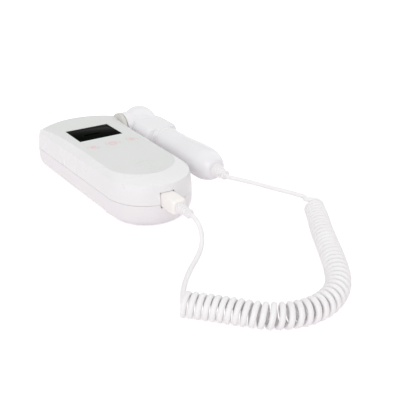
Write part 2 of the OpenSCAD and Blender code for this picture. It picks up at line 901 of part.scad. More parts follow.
module probe_jack() {
    hw = nose_w / 2 + jack_wall_x;
    color([0.12, 0.12, 0.13])
    difference() {
        block(
            [plug_x - hw, jack_front_y, plug_z - nose_h / 2 - jack_wall_z],
            [plug_x + hw, jack_front_y + jack_l, board_z]
        );
        block(
            [plug_x - nose_w / 2 - jack_gap, jack_front_y - over, plug_z - nose_h / 2 - jack_gap],
            [plug_x + nose_w / 2 + jack_gap, nose_tip_y + 0.6, plug_z + nose_h / 2 + jack_gap]
        );
    }
}

// ---- Plug ----

// Bar along +Y with chamfered edges
module chamfered_bar(w, h, length, chamfer) {
    rotate([90, 0, 0])
        translate([0, 0, -length])
            linear_extrude(length)
                polygon([
                    [-w / 2 + chamfer, -h / 2], [w / 2 - chamfer, -h / 2], [w / 2, -h / 2 + chamfer],
                    [w / 2, h / 2 - chamfer], [w / 2 - chamfer, h / 2], [-w / 2 + chamfer, h / 2],
                    [-w / 2, h / 2 - chamfer], [-w / 2, -h / 2 + chamfer]
                ]);
}

// Grooves for the plug's contacts, or the contacts that fill them
module contact_bars() {
    for (k = [0:contact_count - 1])
        translate([plug_x + (k - (contact_count - 1) / 2) * contact_pitch, 0, 0])
            block(
                [-contact_w / 2, nose_tip_y - 0.5 - contact_l, plug_z + nose_h / 2 - contact_t],
                [contact_w / 2, nose_tip_y - 0.5, plug_z + nose_h / 2]
            );
}

module plug_body() {
    color(warm_white)
    difference() {
        union() {
            translate([plug_x, plug_tip_y, plug_z])
                chamfered_bar(plug_w, plug_h, plug_back_y - plug_tip_y, plug_chamfer);
            translate([plug_x, plug_back_y - 0.1, plug_z])
                chamfered_bar(nose_w, nose_h, nose_reach + 0.1, 0.4);
        }
        contact_bars();
    }
}

module plug_contacts() {
    color([0.85, 0.7, 0.3])
        contact_bars();
}

// Ribbed, tapering sleeve along +Y whose thin end is at zero
module ribbed_sleeve(length, r_thin, r_thick) {
    flare_l = 1.6;
    pitch = (length - flare_l) / relief_ribs;
    core = [for (k = [0:relief_ribs - 1])
        let (
            y = flare_l + k * pitch,
            r = r_thin + (r_thick - r_thin) * (y - flare_l) / (length - flare_l)
        )
        each [
            [r - 0.9, y], [r - 0.9, y + 0.45 * pitch], [r, y + 0.55 * pitch], [r, y + pitch]
        ]
    ];
    turned_y(concat([[0, 0], [r_thin + 0.2, 0], [r_thin + 0.2, flare_l]], core, [[0, length]]));
}

module plug_strain_relief() {
    color(warm_white)
        translate([plug_x, plug_tip_y - plug_relief_l, plug_z])
            ribbed_sleeve(plug_relief_l, 3.2, 4.3);
}

// ---- Cord ----

module cord_plug_stretch() {
    color(warm_white)
        tube(plug_path, cord_d, tube_sides);
}

module cord_curls() {
    echo(least_gap_between_curls_mm = curl_gap());
    color(warm_white)
        tube(curl_path, cord_d, curl_sides);
}

module cord_probe_stretch() {
    color(warm_white)
        tube(probe_path, cord_d, tube_sides);
}

// ---- Probe ----

// Children in the probe's own frame
module in_probe() {
    translate([probe_x, cup_y, cup_z])
        rotate([probe_tilt, 0, 0])
            children();
}

// Half outline of a ball from the angle where a round neck of a smaller radius leaves it
function ball_from(r, neck) = concat(
    [for (k = [0:16])
        let (start = -acos(neck / r), a = start + (90 - start) * k / 17)
        [r * cos(a), r * sin(a)]],
    [[0, r]]
);

// Radius of the handle at a distance from its neck end
function handle_at(s) =
    let (
        neck_l = 20,
        swell_l = 28,
        end_s = handle_l - handle_end_l,
        t = max(0, min(1, (s - neck_l) / swell_l)),
        e = max(0, (s - end_s) / handle_end_l)
    )
    s <= end_s
        ? handle_r + (belly_r - handle_r) * t * t * (3 - 2 * t)
        : relief_r + (belly_r - relief_r) * pow(max(0, 1 - pow(e, 1.7)), 1 / 1.7);

// Outline of the handle from its cord end to its neck end, drawn in by d
function handle_profile(d) = concat(
    [for (e = [1, 0.95, 0.85, 0.7, 0.5, 0.3, 0.15])
        let (s = handle_l - handle_end_l + e * handle_end_l)
        [max(1, handle_at(s) - d), neck_start - s + d * e]],
    [for (s = [handle_l - handle_end_l, 48, 44, 40, 36, 32, 28, 24, 20])
        [handle_at(s) - d, neck_start - s]]
);

// Barrel with a flat on top that ends in a ball with a round housing on its left
module head_form(barrel, r, flat_z, housing, housing_end) {
    union() {
        difference() {
            turned_y(concat(barrel, [[r, barrel_end], [0, barrel_end]]));
            block([-head_r - over, -head_l - over, flat_z], [head_r + over, over, head_r + over]);
        }
        turned_x(concat([[0, housing_end], [housing, housing_end]], ball_from(r - ball_in, housing)));
    }
}

module probe_head() {
    inner_r = head_r - probe_wall;
    shoulder_y = nose_start - nose_l / 3;
    color(shell_white)
    in_probe()
    difference() {
        head_form(
            concat(
                [[0, -head_l]],
                [for (a = [0:15:90]) [neck_r + (head_r - neck_r) * sin(a), nose_start - nose_l * cos(a)]]
            ),
            head_r, flat_h, housing_r, -head_r - housing_out
        );
        head_form(
            [[0, shoulder_y], [neck_r, shoulder_y], [inner_r, nose_start + nose_l / 2]],
            inner_r, flat_h - probe_wall, face_r + 0.1, -head_r - over
        );
        turned_y([[0, -head_l - over], [spigot_r + seat_gap, -head_l - over],
            [spigot_r + seat_gap, nose_start], [0, nose_start]]);
    }
}

module neck_ring() {
    color([0.8, 0.8, 0.81])
    in_probe()
        turned_y([
            [spigot_r + seat_gap, neck_start], [neck_r, neck_start], [neck_r, -head_l],
            [spigot_r + seat_gap, -head_l]
        ]);
}

module probe_handle() {
    rim = 0.8;
    bore_r = spigot_r - probe_wall;
    bore_r2 = handle_r - probe_wall;
    color(shell_white)
    in_probe()
    union() {
        difference() {
            turned_y(concat(
                [[0, handle_end]], handle_profile(0),
                [
                    [handle_r, neck_start - rim], [handle_r - rim, neck_start],
                    [spigot_r, neck_start], [spigot_r, -head_l + spigot_l], [0, -head_l + spigot_l]
                ]
            ));
            turned_y(concat(
                [[0, handle_end + handle_end_t]],
                [for (p = handle_profile(probe_wall)) if (p.y > handle_end + handle_end_t) p],
                [
                    [bore_r2, neck_start - 2 * probe_wall], [bore_r, neck_start - probe_wall],
                    [bore_r, -head_l + spigot_l + over], [0, -head_l + spigot_l + over]
                ]
            ));
        }
        // Rails that hold the board's long edges
        for (side = [0, 1])
            mirror([side, 0, 0])
                block(
                    [probe_board_hw, probe_board_end - rail_l, -rail_h / 2],
                    [bore_r2 + 0.4, probe_board_end, rail_h / 2]
                );
    }
}

module probe_board() {
    color(board_green)
    in_probe()
        block(
            [-probe_board_hw, probe_board_end - probe_board_l, -probe_board_t / 2],
            [probe_board_hw, probe_board_end, probe_board_t / 2]
        );
}

module transducer_face() {
    color(cream)
    in_probe()
    translate([face_tip, 0, 0])
    rotate([0, 90, 0])
    rotate_extrude($fn = 96)
        polygon([
            [0, 0], [face_r - 1, 0], [face_r - 0.3, 0.3], [face_r, 1], [face_r, face_back - face_tip],
            [0, face_back - face_tip]
        ]);
}

module transducer_crystals() {
    split = 0.4;
    color([0.8, 0.75, 0.6])
    in_probe()
    translate([face_back, 0, 0])
    rotate([0, 90, 0])
    difference() {
        cylinder(r = crystal_r, h = crystal_t, $fn = 64);
        block([-crystal_r - over, -split, -over], [crystal_r + over, split, crystal_t + over]);
    }
}

module probe_strain_relief() {
    color(warm_white)
    in_probe()
        translate([0, handle_end - probe_relief_l, 0])
            ribbed_sleeve(probe_relief_l, relief_end_r, relief_r);
}

bottom_shell();
top_shell();
top_panel();
display_window();
display_module();
key_left();
key_middle();
key_right();
key_switches();
main_board();
board_screws();
case_screws();
speaker_frame();
speaker_cone();
battery_cells();
battery_contacts();
battery_door();
probe_cup();
probe_jack();
plug_body();
plug_contacts();
plug_strain_relief();
cord_plug_stretch();
cord_curls();
cord_probe_stretch();
probe_strain_relief();
probe_handle();
neck_ring();
probe_head();
transducer_face();
transducer_crystals();
probe_board();
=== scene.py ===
"""Looks of a pocket fetal doppler monitor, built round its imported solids.

The case with its display and keys, the hand probe in its cup and the curly cord are each one class.
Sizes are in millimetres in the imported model's frame: +Y along the case to the display end, +X to the
probe, +Z up. Meshes are turned to metres when they are placed.
"""

import json
import logging
import math
from dataclasses import dataclass, field
from enum import Enum

import bmesh
import bpy
import numpy as np
from mathutils import Matrix, Vector

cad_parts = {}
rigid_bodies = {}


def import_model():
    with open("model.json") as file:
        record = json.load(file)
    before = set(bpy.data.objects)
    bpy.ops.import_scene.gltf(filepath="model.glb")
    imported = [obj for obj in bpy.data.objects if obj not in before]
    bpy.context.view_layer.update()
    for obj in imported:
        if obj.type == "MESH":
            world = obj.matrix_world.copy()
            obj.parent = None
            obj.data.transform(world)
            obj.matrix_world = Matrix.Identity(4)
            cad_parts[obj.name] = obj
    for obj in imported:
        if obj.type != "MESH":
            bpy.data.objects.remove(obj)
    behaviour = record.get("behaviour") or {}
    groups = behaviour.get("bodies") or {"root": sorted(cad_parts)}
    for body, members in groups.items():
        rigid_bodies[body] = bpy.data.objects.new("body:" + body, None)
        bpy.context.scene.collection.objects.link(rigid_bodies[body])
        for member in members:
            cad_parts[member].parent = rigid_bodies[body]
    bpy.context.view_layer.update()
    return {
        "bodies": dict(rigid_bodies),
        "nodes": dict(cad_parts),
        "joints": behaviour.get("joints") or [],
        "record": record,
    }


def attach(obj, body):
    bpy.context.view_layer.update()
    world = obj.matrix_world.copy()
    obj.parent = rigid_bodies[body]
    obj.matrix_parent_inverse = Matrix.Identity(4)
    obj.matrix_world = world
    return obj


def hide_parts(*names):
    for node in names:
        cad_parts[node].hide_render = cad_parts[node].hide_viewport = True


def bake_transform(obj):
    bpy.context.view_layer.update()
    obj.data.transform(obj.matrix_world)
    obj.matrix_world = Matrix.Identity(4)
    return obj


LOG = logging.getLogger("monitor")
MM = 0.001
# Shares of a pattern at which a finish shows its first and its second tone
TONE_FROM = 0.35
TONE_TO = 0.65
# Radius in millimetres that stands for a point on the axis of a turned piece
POINT_R = 1e-4
# Distance in metres below which two points are one
WELD = 2e-7
# Angle in degrees above which an edge stays crisp, where a piece names no other
CRISP = 32.0
# Heights in millimetres at which tools that cut from below start and tools that cut through the top end
UNDER = -1.0
OVER = 37.0

Point = tuple[float, float, float]
Ring = np.ndarray


class Turn(Enum):
    """Axis that a turned piece is turned about."""

    X = "x"
    Y = "y"
    Z = "z"


class Role(Enum):
    """What a shape does to the piece it meets."""

    ADD = "UNION"
    CUT = "DIFFERENCE"


# ---------------------------------------------------------------- node helpers


def linear(code: str) -> tuple[float, float, float, float]:
    """Turn an sRGB hex colour to the linear values that shaders take.

    Args:
        code: colour as "#rrggbb".

    Returns:
        Linear red, green, blue and a full alpha.
    """
    parts = [int(code[k : k + 2], 16) / 255 for k in (1, 3, 5)]
    red, green, blue = (c / 12.92 if c <= 0.04045 else ((c + 0.055) / 1.055) ** 2.4 for c in parts)
    return red, green, blue, 1.0


def add_node(
    tree: bpy.types.NodeTree, kind: str, inputs: dict[str | int, object] | None = None, **settings: object
) -> bpy.types.Node:
    """Add a node with its settings, values and links.

    Args:
        tree: the node tree it goes into.
        kind: Blender's name of the node's type, without "ShaderNode".
        inputs: value or source socket of each input, by name or number.
        **settings: properties of the node.

    Returns:
        The new node.
    """
    node = tree.nodes.new("ShaderNode" + kind)
    for name, value in settings.items():
        setattr(node, name, value)
    for name, value in (inputs or {}).items():
        if isinstance(value, bpy.types.NodeSocket):
            tree.links.new(value, node.inputs[name])
        else:
            node.inputs[name].default_value = value
    return node


# ---------------------------------------------------------------- finishes


@dataclass(frozen=True)
class Finish:
    """A moulded, cast or rolled surface: two close tones, gloss and a fine relief.

    The tones drift over drift_mm, as pigment and handling make them, and the relief is grain_mm wide.
    """

    name: str
    tone: str
    tone_2: str
    roughness: float
    ior: float = 1.5
    metallic: float = 0.0
    drift_mm: float = 30.0
    grain_mm: float = 0.6
    relief_mm: float = 0.01
    gloss_drift: float = 0.05
    coat: float = 0.0
    specular: float = 0.5

    def pattern(self, tree: bpy.types.NodeTree, place: bpy.types.NodeSocket) -> bpy.types.NodeSocket:
        """Share of the second tone over the surface.

        Args:
            tree: the material's nodes.
            place: the object's own coordinates in metres.

        Returns:
            Socket with values from 0 to 1.
        """
        drift = add_node(
            tree, "TexNoise", {"Vector": place, "Scale": 1 / (self.drift_mm * MM), "Detail": 2.0}
        )
        return drift.outputs["Fac"]

    def height(self, tree: bpy.types.NodeTree, place: bpy.types.NodeSocket) -> bpy.types.NodeSocket:
        """Relief of the surface.

        Args:
            tree: the material's nodes.
            place: the object's own coordinates in metres.

        Returns:
            Socket with values from 0 to 1.
        """
        grain = add_node(
            tree, "TexNoise", {"Vector": place, "Scale": 1 / (self.grain_mm * MM), "Detail": 3.0}
        )
        return grain.outputs["Fac"]

    def make(self) -> bpy.types.Material:
        """Build the material, once for each name.

        Returns:
            The new material, or the one made before.
        """
        known = bpy.data.materials.get(self.name)
        if known:
            return known
        material = bpy.data.materials.new(self.name)
        material.use_nodes = True
        tree = material.node_tree
        tree.nodes.clear()
        place = add_node(tree, "TexCoord").outputs["Object"]
        share = self.pattern(tree, place)
        tones = add_node(tree, "ValToRGB", {"Fac": share})
        stops = ((TONE_FROM, self.tone), (TONE_TO, self.tone_2))
        for stop, (spot, code) in zip(tones.color_ramp.elements, stops):
            stop.position = spot
            stop.color = linear(code)
        gloss = add_node(
            tree, "MapRange",
            {
                "Value": share, "To Min": self.roughness - self.gloss_drift,
                "To Max": self.roughness + self.gloss_drift,
            },
        )
        relief = self.height(tree, place)
        bump = add_node(
            tree, "Bump", {"Height": relief, "Distance": self.relief_mm * MM, "Strength": 1.0}
        )
        shader = add_node(
            tree, "BsdfPrincipled",
            {
                "Base Color": tones.outputs["Color"], "Roughness": gloss.outputs["Result"],
                "Normal": bump.outputs["Normal"], "IOR": self.ior, "Metallic": self.metallic,
                "Coat Weight": self.coat, "Specular IOR Level": self.specular,
            },
        )
        add_node(tree, "OutputMaterial", {"Surface": shader.outputs["BSDF"]})
        return material


@dataclass(frozen=True)
class WovenBoard(Finish):
    """Glass-fibre laminate under green solder mask: the weave shows as faint squares."""

    thread_mm: float = 0.5

    def height(self, tree: bpy.types.NodeTree, place: bpy.types.NodeSocket) -> bpy.types.NodeSocket:
        """Threads across each other.

        Args:
            tree: the material's nodes.
            place: the object's own coordinates in metres.

        Returns:
            Socket with values from -1 to 1.
        """
        turns = math.pi / (self.thread_mm * MM)
        axes = add_node(tree, "SeparateXYZ", {0: place})
        waves = []
        for axis in ("X", "Y"):
            scaled = add_node(tree, "Math", {0: axes.outputs[axis], 1: turns}, operation="MULTIPLY")
            waves.append(add_node(tree, "Math", {0: scaled.outputs[0]}, operation="SINE"))
        both = add_node(
            tree, "Math", {0: waves[0].outputs[0], 1: waves[1].outputs[0]}, operation="MULTIPLY"
        )
        return both.outputs[0]


@dataclass(frozen=True)
class RolledSteel(Finish):
    """Zinc-plated or turned metal: fine lines one way, a pattern squeezed along its axis Y."""

    line_mm: float = 0.15
    squeeze: Point = (1.0, 0.08, 1.0)

    def height(self, tree: bpy.types.NodeTree, place: bpy.types.NodeSocket) -> bpy.types.NodeSocket:
        """Lines along the object's Y axis.

        Args:
            tree: the material's nodes.
            place: the object's own coordinates in metres.

        Returns:
            Socket with values from 0 to 1.
        """
        drawn = add_node(tree, "Mapping", {"Vector": place, "Scale": self.squeeze})
        lines = add_node(
            tree, "TexNoise",
            {"Vector": drawn.outputs["Vector"], "Scale": 1 / (self.line_mm * MM), "Detail": 4.0},
        )
        return lines.outputs["Fac"]


@dataclass(frozen=True)
class BandedWrap(Finish):
    """Printed plastic sleeve of a cell: a plain band at its positive end."""

    band_from_mm: float = -22.0

    def pattern(self, tree: bpy.types.NodeTree, place: bpy.types.NodeSocket) -> bpy.types.NodeSocket:
        """Second tone beyond the band's edge.

        Args:
            tree: the material's nodes.
            place: the object's own coordinates in metres.

        Returns:
            Socket with values from 0 to 1.
        """
        axes = add_node(tree, "SeparateXYZ", {0: place})
        edge = add_node(
            tree, "Math", {0: axes.outputs["Y"], 1: self.band_from_mm * MM}, operation="GREATER_THAN"
        )
        return edge.outputs[0]


# ABS, injection moulded, satin gloss: a clean white with soft highlights along every edge
SHELL_ABS = Finish("abs_white_moulded", "#f4f3f4", "#f2f1f2", 0.28, 1.53, grain_mm=0.8, relief_mm=0.004)
# The upper shell's ABS for the lower shell and door, drawn a touch darker and pinker: painted shade with the
# pink cast of the floor's bounce
BASE_ABS_SHADED = Finish("abs_lower_painted_shade", "#f2f0f1", "#f1eef0", 0.33, 1.53, grain_mm=0.8, relief_mm=0.005)
# ABS of the probe, polished mould: the glossiest white, with a broad soft highlight
PROBE_ABS = Finish("abs_probe_polished", "#f4f3f5", "#f2f1f3", 0.24, 1.53, grain_mm=1.2, relief_mm=0.003)
# Polycarbonate film, printed light grey on its back, fine matt front: even, without highlights
PANEL_FILM = Finish(
    "polycarbonate_film_grey", "#e6e7e6", "#e4e6e4", 0.5, 1.58, drift_mm=60, grain_mm=0.5, relief_mm=0.004
)
# Smoked acrylic over the display: near black with a green cast, its glare damped by an optical coating
SMOKED_ACRYLIC = Finish(
    "acrylic_smoked_window", "#060a06", "#050906", 0.12, 1.49, drift_mm=12, relief_mm=0.001,
    gloss_drift=0.02, specular=0.002,
)
# Liquid crystal segments behind the acrylic: barely lighter than the glass
SEGMENT_GREEN = Finish("lcd_segment_dim", "#3a4a41", "#33423a", 0.3, 1.5, drift_mm=4, specular=0.004)
# Screen ink of the keys: pale pink discs and stronger pink marks, flat and matt
KEY_DISC_INK = Finish("ink_pink_pale", "#eedfe0", "#eddcdd", 0.5, 1.5, drift_mm=6, relief_mm=0.002)
KEY_MARK_INK = Finish("ink_pink_mark", "#e8c6c9", "#e7c2c5", 0.5, 1.5, drift_mm=4, relief_mm=0.002)
# Polycarbonate of the key caps, moulded in the film's grey
KEY_CAP = Finish("polycarbonate_key_cap", "#e6e7e6", "#e4e5e4", 0.45, 1.58, drift_mm=10, relief_mm=0.003)
# Cream ABS of the probe's cup, fine matt moulding; its tone is drawn greyer than the cream, as painted shade
# beside the probe's head
CUP_ABS_SHADED = Finish("abs_cream_painted_shade", "#dcdad5", "#d8d6d0", 0.4, 1.53, drift_mm=20, relief_mm=0.005)
# Epoxy face of the transducer: cream, slightly glossy, cast and ground flat
FACE_EPOXY = Finish("epoxy_cream_ground", "#eeece4", "#ebe8df", 0.35, 1.55, drift_mm=8, relief_mm=0.004)
# Thermoplastic elastomer moulded over the plug: warm white and silky
PLUG_TPE = Finish(
    "elastomer_warm_white", "#fffcf9", "#fdf9f6", 0.45, 1.5, drift_mm=10, grain_mm=0.5, relief_mm=0.008
)
# Polyurethane of the cord and its ribbed sleeves: extruded or moulded, satin, white with soft roll-off
CORD_PU = Finish(
    "polyurethane_jacket", "#f9f8f8", "#f7f5f6", 0.38, 1.5, drift_mm=15, grain_mm=0.7, relief_mm=0.006
)
# Silicone sealing ring in the neck: moulded, pale and dull, it reads by the shade it lies in
RING_SILICONE = Finish("silicone_ring_grey", "#f6f5f7", "#f3f2f4", 0.6, 1.41, drift_mm=5, relief_mm=0.01)
# Glass-filled nylon of jack, module frame and switches: black, dull, slightly mottled
BLACK_NYLON = Finish("nylon_black_moulded", "#1b1c1d", "#232425", 0.55, 1.53, drift_mm=3, relief_mm=0.02)
# Coated paper of the speaker's cone: pressed from pulp, dark, with a fine felted face
CONE_PAPER = Finish(
    "paper_cone_coated", "#26272a", "#303135", 0.75, 1.5, drift_mm=2, grain_mm=0.4, relief_mm=0.04
)
# Glass-fibre laminate, pressed and screen-coated with solder mask: green, with the weave just showing
BOARD_LAMINATE = WovenBoard(
    "glass_fibre_solder_mask", "#14643a", "#125a35", 0.35, 1.5, drift_mm=8, relief_mm=0.02, coat=0.2
)
# Zinc-plated steel of screws, contacts and speaker basket
ZINC_STEEL = RolledSteel("steel_zinc_plated", "#c4c6c9", "#b6b9be", 0.3, 1.5, metallic=1.0, drift_mm=2)
# Gold over nickel on the plug's contacts
GOLD_PLATE = RolledSteel("gold_plated_contact", "#d9b765", "#cfab57", 0.25, 1.5, metallic=1.0, drift_mm=1)
# Shrink sleeve of a cell: plain slate blue with an ochre band at the positive end
CELL_SLEEVE = BandedWrap("cell_sleeve_plain", "#5b6673", "#b7934a", 0.3, 1.5, drift_mm=20, coat=0.3)
# Fired piezo ceramic: matt buff with fine speckle
PIEZO_CERAMIC = Finish("ceramic_piezo_fired", "#cdbf9a", "#c2b38c", 0.8, 2.0, drift_mm=0.8, relief_mm=0.02)


# ---------------------------------------------------------------- shapes


@dataclass
class Shape:
    """Points in millimetres and the faces between them."""

    points: np.ndarray
    faces: list[tuple[int, ...]] = field(default_factory=list)

    def moved(self, matrix: Matrix) -> "Shape":
        """The same shape after a move, with the matrix in millimetres."""
        m = np.array(matrix, float)
        return Shape(self.points @ m[:3, :3].T + m[:3, 3], list(self.faces))

    def joined(self, *others: "Shape") -> "Shape":
        """This shape and others as one, without merging them.

        Args:
            *others: shapes that lie apart from this one.

        Returns:
            All of them.
        """
        points, faces, start = [self.points], list(self.faces), len(self.points)
        for other in others:
            points.append(other.points)
            faces += [tuple(i + start for i in f) for f in other.faces]
            start += len(other.points)
        return Shape(np.vstack(points), faces)


def loft(rings: list[Ring], closed: bool = False) -> Shape:
    """Skin rings of equal count.

    Args:
        rings: arrays of points, in order along the piece and anticlockwise seen from its end.
        closed: the last ring joins the first; without it both ends are capped.

    Returns:
        The skinned shape.
    """
    n, m = len(rings[0]), len(rings)
    faces: list[tuple[int, ...]] = []
    for k in range(m if closed else m - 1):
        a, b = k * n, (k + 1) % m * n
        faces += [(a + i, a + (i + 1) % n, b + (i + 1) % n, b + i) for i in range(n)]
    if not closed:
        faces.append(tuple(range(n - 1, -1, -1)))
        faces.append(tuple(range((m - 1) * n, m * n)))
    return Shape(np.vstack(rings), faces)


def on_axis(turn: Turn, points: np.ndarray) -> np.ndarray:
    """Lay points whose axis is Z along another axis.

    Args:
        turn: the wanted axis.
        points: points about Z.

    Returns:
        The same points about the wanted axis.
    """
    if turn is Turn.X:
        return points[:, [2, 0, 1]]
    if turn is Turn.Y:
        return points[:, [1, 2, 0]]
    return points


def turned(profile: list[tuple[float, float]], turn: Turn, steps: int = 96) -> Shape:
    """Turn a profile about an axis.

    Args:
        profile: (radius, place along the axis) from one end to the other; ends on the axis are closed.
        turn: the axis.
        steps: facets round the piece.

    Returns:
        The turned solid, open only where the profile closes on itself.
    """
    angles = np.arange(steps) * 2 * math.pi / steps
    circle = np.column_stack([np.cos(angles), np.sin(angles)])
    rings = [np.column_stack([max(r, POINT_R) * circle, np.full(steps, h)]) for r, h in profile]
    closed = profile[0][0] > 0 and profile[-1][0] > 0
    shape = loft(rings, closed)
    return Shape(on_axis(turn, shape.points), shape.faces)


def block(low: Point, high: Point) -> Shape:
    """Box between two corners.

    Args:
        low: its lowest corner.
        high: its highest corner.

    Returns:
        The box.
    """
    (x0, y0, z0), (x1, y1, z1) = low, high
    flat = np.array([(x0, y0), (x1, y0), (x1, y1), (x0, y1)])
    return prism(flat, z0, z1)


def prism(outline: np.ndarray, low: float, high: float) -> Shape:
    """Upright solid over a flat outline.

    Args:
        outline: corners (x, y), anticlockwise.
        low: height of its foot.
        high: height of its top.

    Returns:
        The solid.
    """
    rings = [np.column_stack([outline, np.full(len(outline), z)]) for z in (low, high)]
    return loft(rings)


def rectangle(x: float, y: float, half_w: float, half_d: float, z: float) -> Ring:
    """Level ring of four corners about a point."""
    sides = ((-1, -1), (1, -1), (1, 1), (-1, 1))
    return np.array([(x + u * half_w, y + v * half_d, z) for u, v in sides])


def post(x: float, y: float, low: float, high: float, radius: float, steps: int = 48) -> Shape:
    """Round bar standing on a point."""
    angles = np.arange(steps) * 2 * math.pi / steps
    return prism(np.column_stack([x + radius * np.cos(angles), y + radius * np.sin(angles)]), low, high)


def rod_x(start: Point, radius: float, length: float, steps: int = 96) -> Shape:
    """Round bar along +X from a point."""
    bar = turned([(0, 0), (radius, 0), (radius, length), (0, length)], Turn.X, steps)
    return bar.moved(Matrix.Translation(start))


def arc_strip(
    centre: tuple[float, float], radius: float, width: float, start: float, sweep: float
) -> np.ndarray:
    """Outline of a curved strip with round ends.

    Args:
        centre: centre of the arc.
        radius: outer radius.
        width: width of the strip.
        start: first angle in degrees.
        sweep: angle covered in degrees.

    Returns:
        Corners (x, y), anticlockwise.
    """
    mid = radius - width / 2
    angles = np.radians(np.linspace(start, start + sweep, 40))
    cap = np.radians(np.linspace(15, 165, 9))
    way = np.column_stack([np.cos(angles), np.sin(angles)])
    outer = way * radius
    inner = way[::-1] * (radius - width)
    tips = []
    for angle, turn in ((angles[-1], 0.0), (angles[0], math.pi)):
        hub = np.array([math.cos(angle), math.sin(angle)]) * mid
        round_end = np.column_stack([np.cos(angle + turn + cap), np.sin(angle + turn + cap)])
        tips.append(hub + width / 2 * round_end)
    return np.vstack([outer, tips[0], inner, tips[1]]) + np.array(centre)


def eased(a: Ring, b: Ring, c: Ring, size: float, steps: int = 5) -> list[Ring]:
    """Round the edge at ring b between its neighbours a and c.

    Args:
        a: ring before the edge.
        b: the edge.
        c: ring after the edge.
        size: how far the rounding reaches along both sides.
        steps: rings in the rounding.

    Returns:
        Rings that take b's place.
    """
    before, after = a - b, c - b
    before *= np.minimum(0.5, size / np.linalg.norm(before, axis=1))[:, None]
    after *= np.minimum(0.5, size / np.linalg.norm(after, axis=1))[:, None]
    return [b + (1 - t) ** 2 * before + t**2 * after for t in np.linspace(0, 1, steps)]


def smooth_path(points: list[Point], parts: int) -> np.ndarray:
    """Curve through points, straight at both ends.

    Args:
        points: the points it passes.
        parts: points made for each span.

    Returns:
        Points along the curve.
    """
    p = np.array(points, float)
    p = np.vstack([2 * p[0] - p[1], p, 2 * p[-1] - p[-2]])
    made = []
    for k in range(1, len(p) - 2):
        a, b, c, d = p[k - 1 : k + 3]
        for t in np.arange(parts) / parts:
            bend = (2 * a - 5 * b + 4 * c - d) * t * t + (3 * b - a - 3 * c + d) * t**3
            made.append(0.5 * (2 * b + (c - a) * t + bend))
    made.append(p[-2])
    return np.array(made)


def tube(path: np.ndarray, radius: float, sides: int) -> Shape:
    """Round tube along a path, closed at both ends.

    Args:
        path: points of the centre line.
        radius: radius of the tube.
        sides: facets round it.

    Returns:
        The tube.
    """
    ahead = np.gradient(path, axis=0)
    ahead /= np.linalg.norm(ahead, axis=1)[:, None]
    across = np.cross(ahead[0], [0.0, 0.0, 1.0])
    angles = np.arange(sides) * 2 * math.pi / sides
    rings = []
    for centre, way in zip(path, ahead):
        across = across - way * np.dot(across, way)
        across /= np.linalg.norm(across)
        up = np.cross(way, across)
        rings.append(centre + radius * (np.outer(np.cos(angles), across) + np.outer(np.sin(angles), up)))
    return loft(rings)


def ribbon(line: list[tuple[float, float]], width: float, low: float, high: float) -> Shape:
    """Thin printed line of a given width over a flat path.

    Args:
        line: points (x, y).
        width: width of the line.
        low: height of its foot.
        high: height of its top.

    Returns:
        The line as a thin solid.
    """
    p = np.array(line, float)
    way = np.gradient(p, axis=0)
    way /= np.linalg.norm(way, axis=1)[:, None]
    side = np.column_stack([way[:, 1], -way[:, 0]]) * width / 2
    return prism(np.vstack([p + side, (p - side)[::-1]]), low, high)


# ---------------------------------------------------------------- placing


def new_object(name: str, shape: Shape) -> bpy.types.Object:
    """Object from a shape, in metres, with clean outward normals.

    Args:
        name: the object's name.
        shape: its shape in millimetres.

    Returns:
        The object, linked to the scene.
    """
    mesh = bpy.data.meshes.new(name)
    mesh.from_pydata((shape.points * MM).tolist(), [], shape.faces)
    mesh.validate()
    thing = bpy.data.objects.new(name, mesh)
    bpy.context.scene.collection.objects.link(thing)
    bm = bmesh.new()
    bm.from_mesh(mesh)
    bmesh.ops.remove_doubles(bm, verts=bm.verts, dist=WELD)
    bmesh.ops.recalc_face_normals(bm, faces=bm.faces)
    bm.to_mesh(mesh)
    bm.free()
    return thing


def settle(thing: bpy.types.Object) -> None:
    """Write an object's modifiers into its mesh.

    Args:
        thing: the object that changes.
    """
    graph = bpy.context.evaluated_depsgraph_get()
    made = bpy.data.meshes.new_from_object(thing.evaluated_get(graph))
    made.name = thing.name
    old = thing.data
    thing.modifiers.clear()
    thing.data = made
    bpy.data.meshes.remove(old)


def combine(thing: bpy.types.Object, shapes: list[Shape], role: Role) -> None:
    """Add shapes to an object or cut them out of it.

    Args:
        thing: the object that changes.
        shapes: solids in millimetres.
        role: add or cut.
    """
    helpers = bpy.data.collections.new(thing.name + "_tools")
    for k, shape in enumerate(shapes):
        tool = new_object(f"{thing.name}_tool_{k}", shape)
        bpy.context.scene.collection.objects.unlink(tool)
        helpers.objects.link(tool)
    change = thing.modifiers.new("tools", "BOOLEAN")
    change.operation = role.value
    change.operand_type = "COLLECTION"
    change.collection = helpers
    change.solver = "EXACT"
    settle(thing)
    for tool in list(helpers.objects):
        bpy.data.objects.remove(tool)
    bpy.data.collections.remove(helpers)


def shade(thing: bpy.types.Object, angle: float) -> None:
    """Shade an object smooth, with crisp edges.

    Args:
        thing: the object that changes.
        angle: edges sharper than this stay crisp, in degrees.
    """
    mesh = thing.data
    mesh.polygons.foreach_set("use_smooth", [True] * len(mesh.polygons))
    mesh.set_sharp_from_angle(angle=math.radians(angle))
    mesh.update()


def bevel(thing: bpy.types.Object, width_mm: float, segments: int = 2, angle: float = 40) -> None:
    """Round an object's sharp edges.

    Args:
        thing: the object that changes.
        width_mm: how far the rounding reaches.
        segments: faces in the rounding.
        angle: edges sharper than this are rounded, in degrees.
    """
    change = thing.modifiers.new("edges", "BEVEL")
    change.width = width_mm * MM
    change.segments = segments
    change.limit_method = "ANGLE"
    change.angle_limit = math.radians(angle)
    settle(thing)


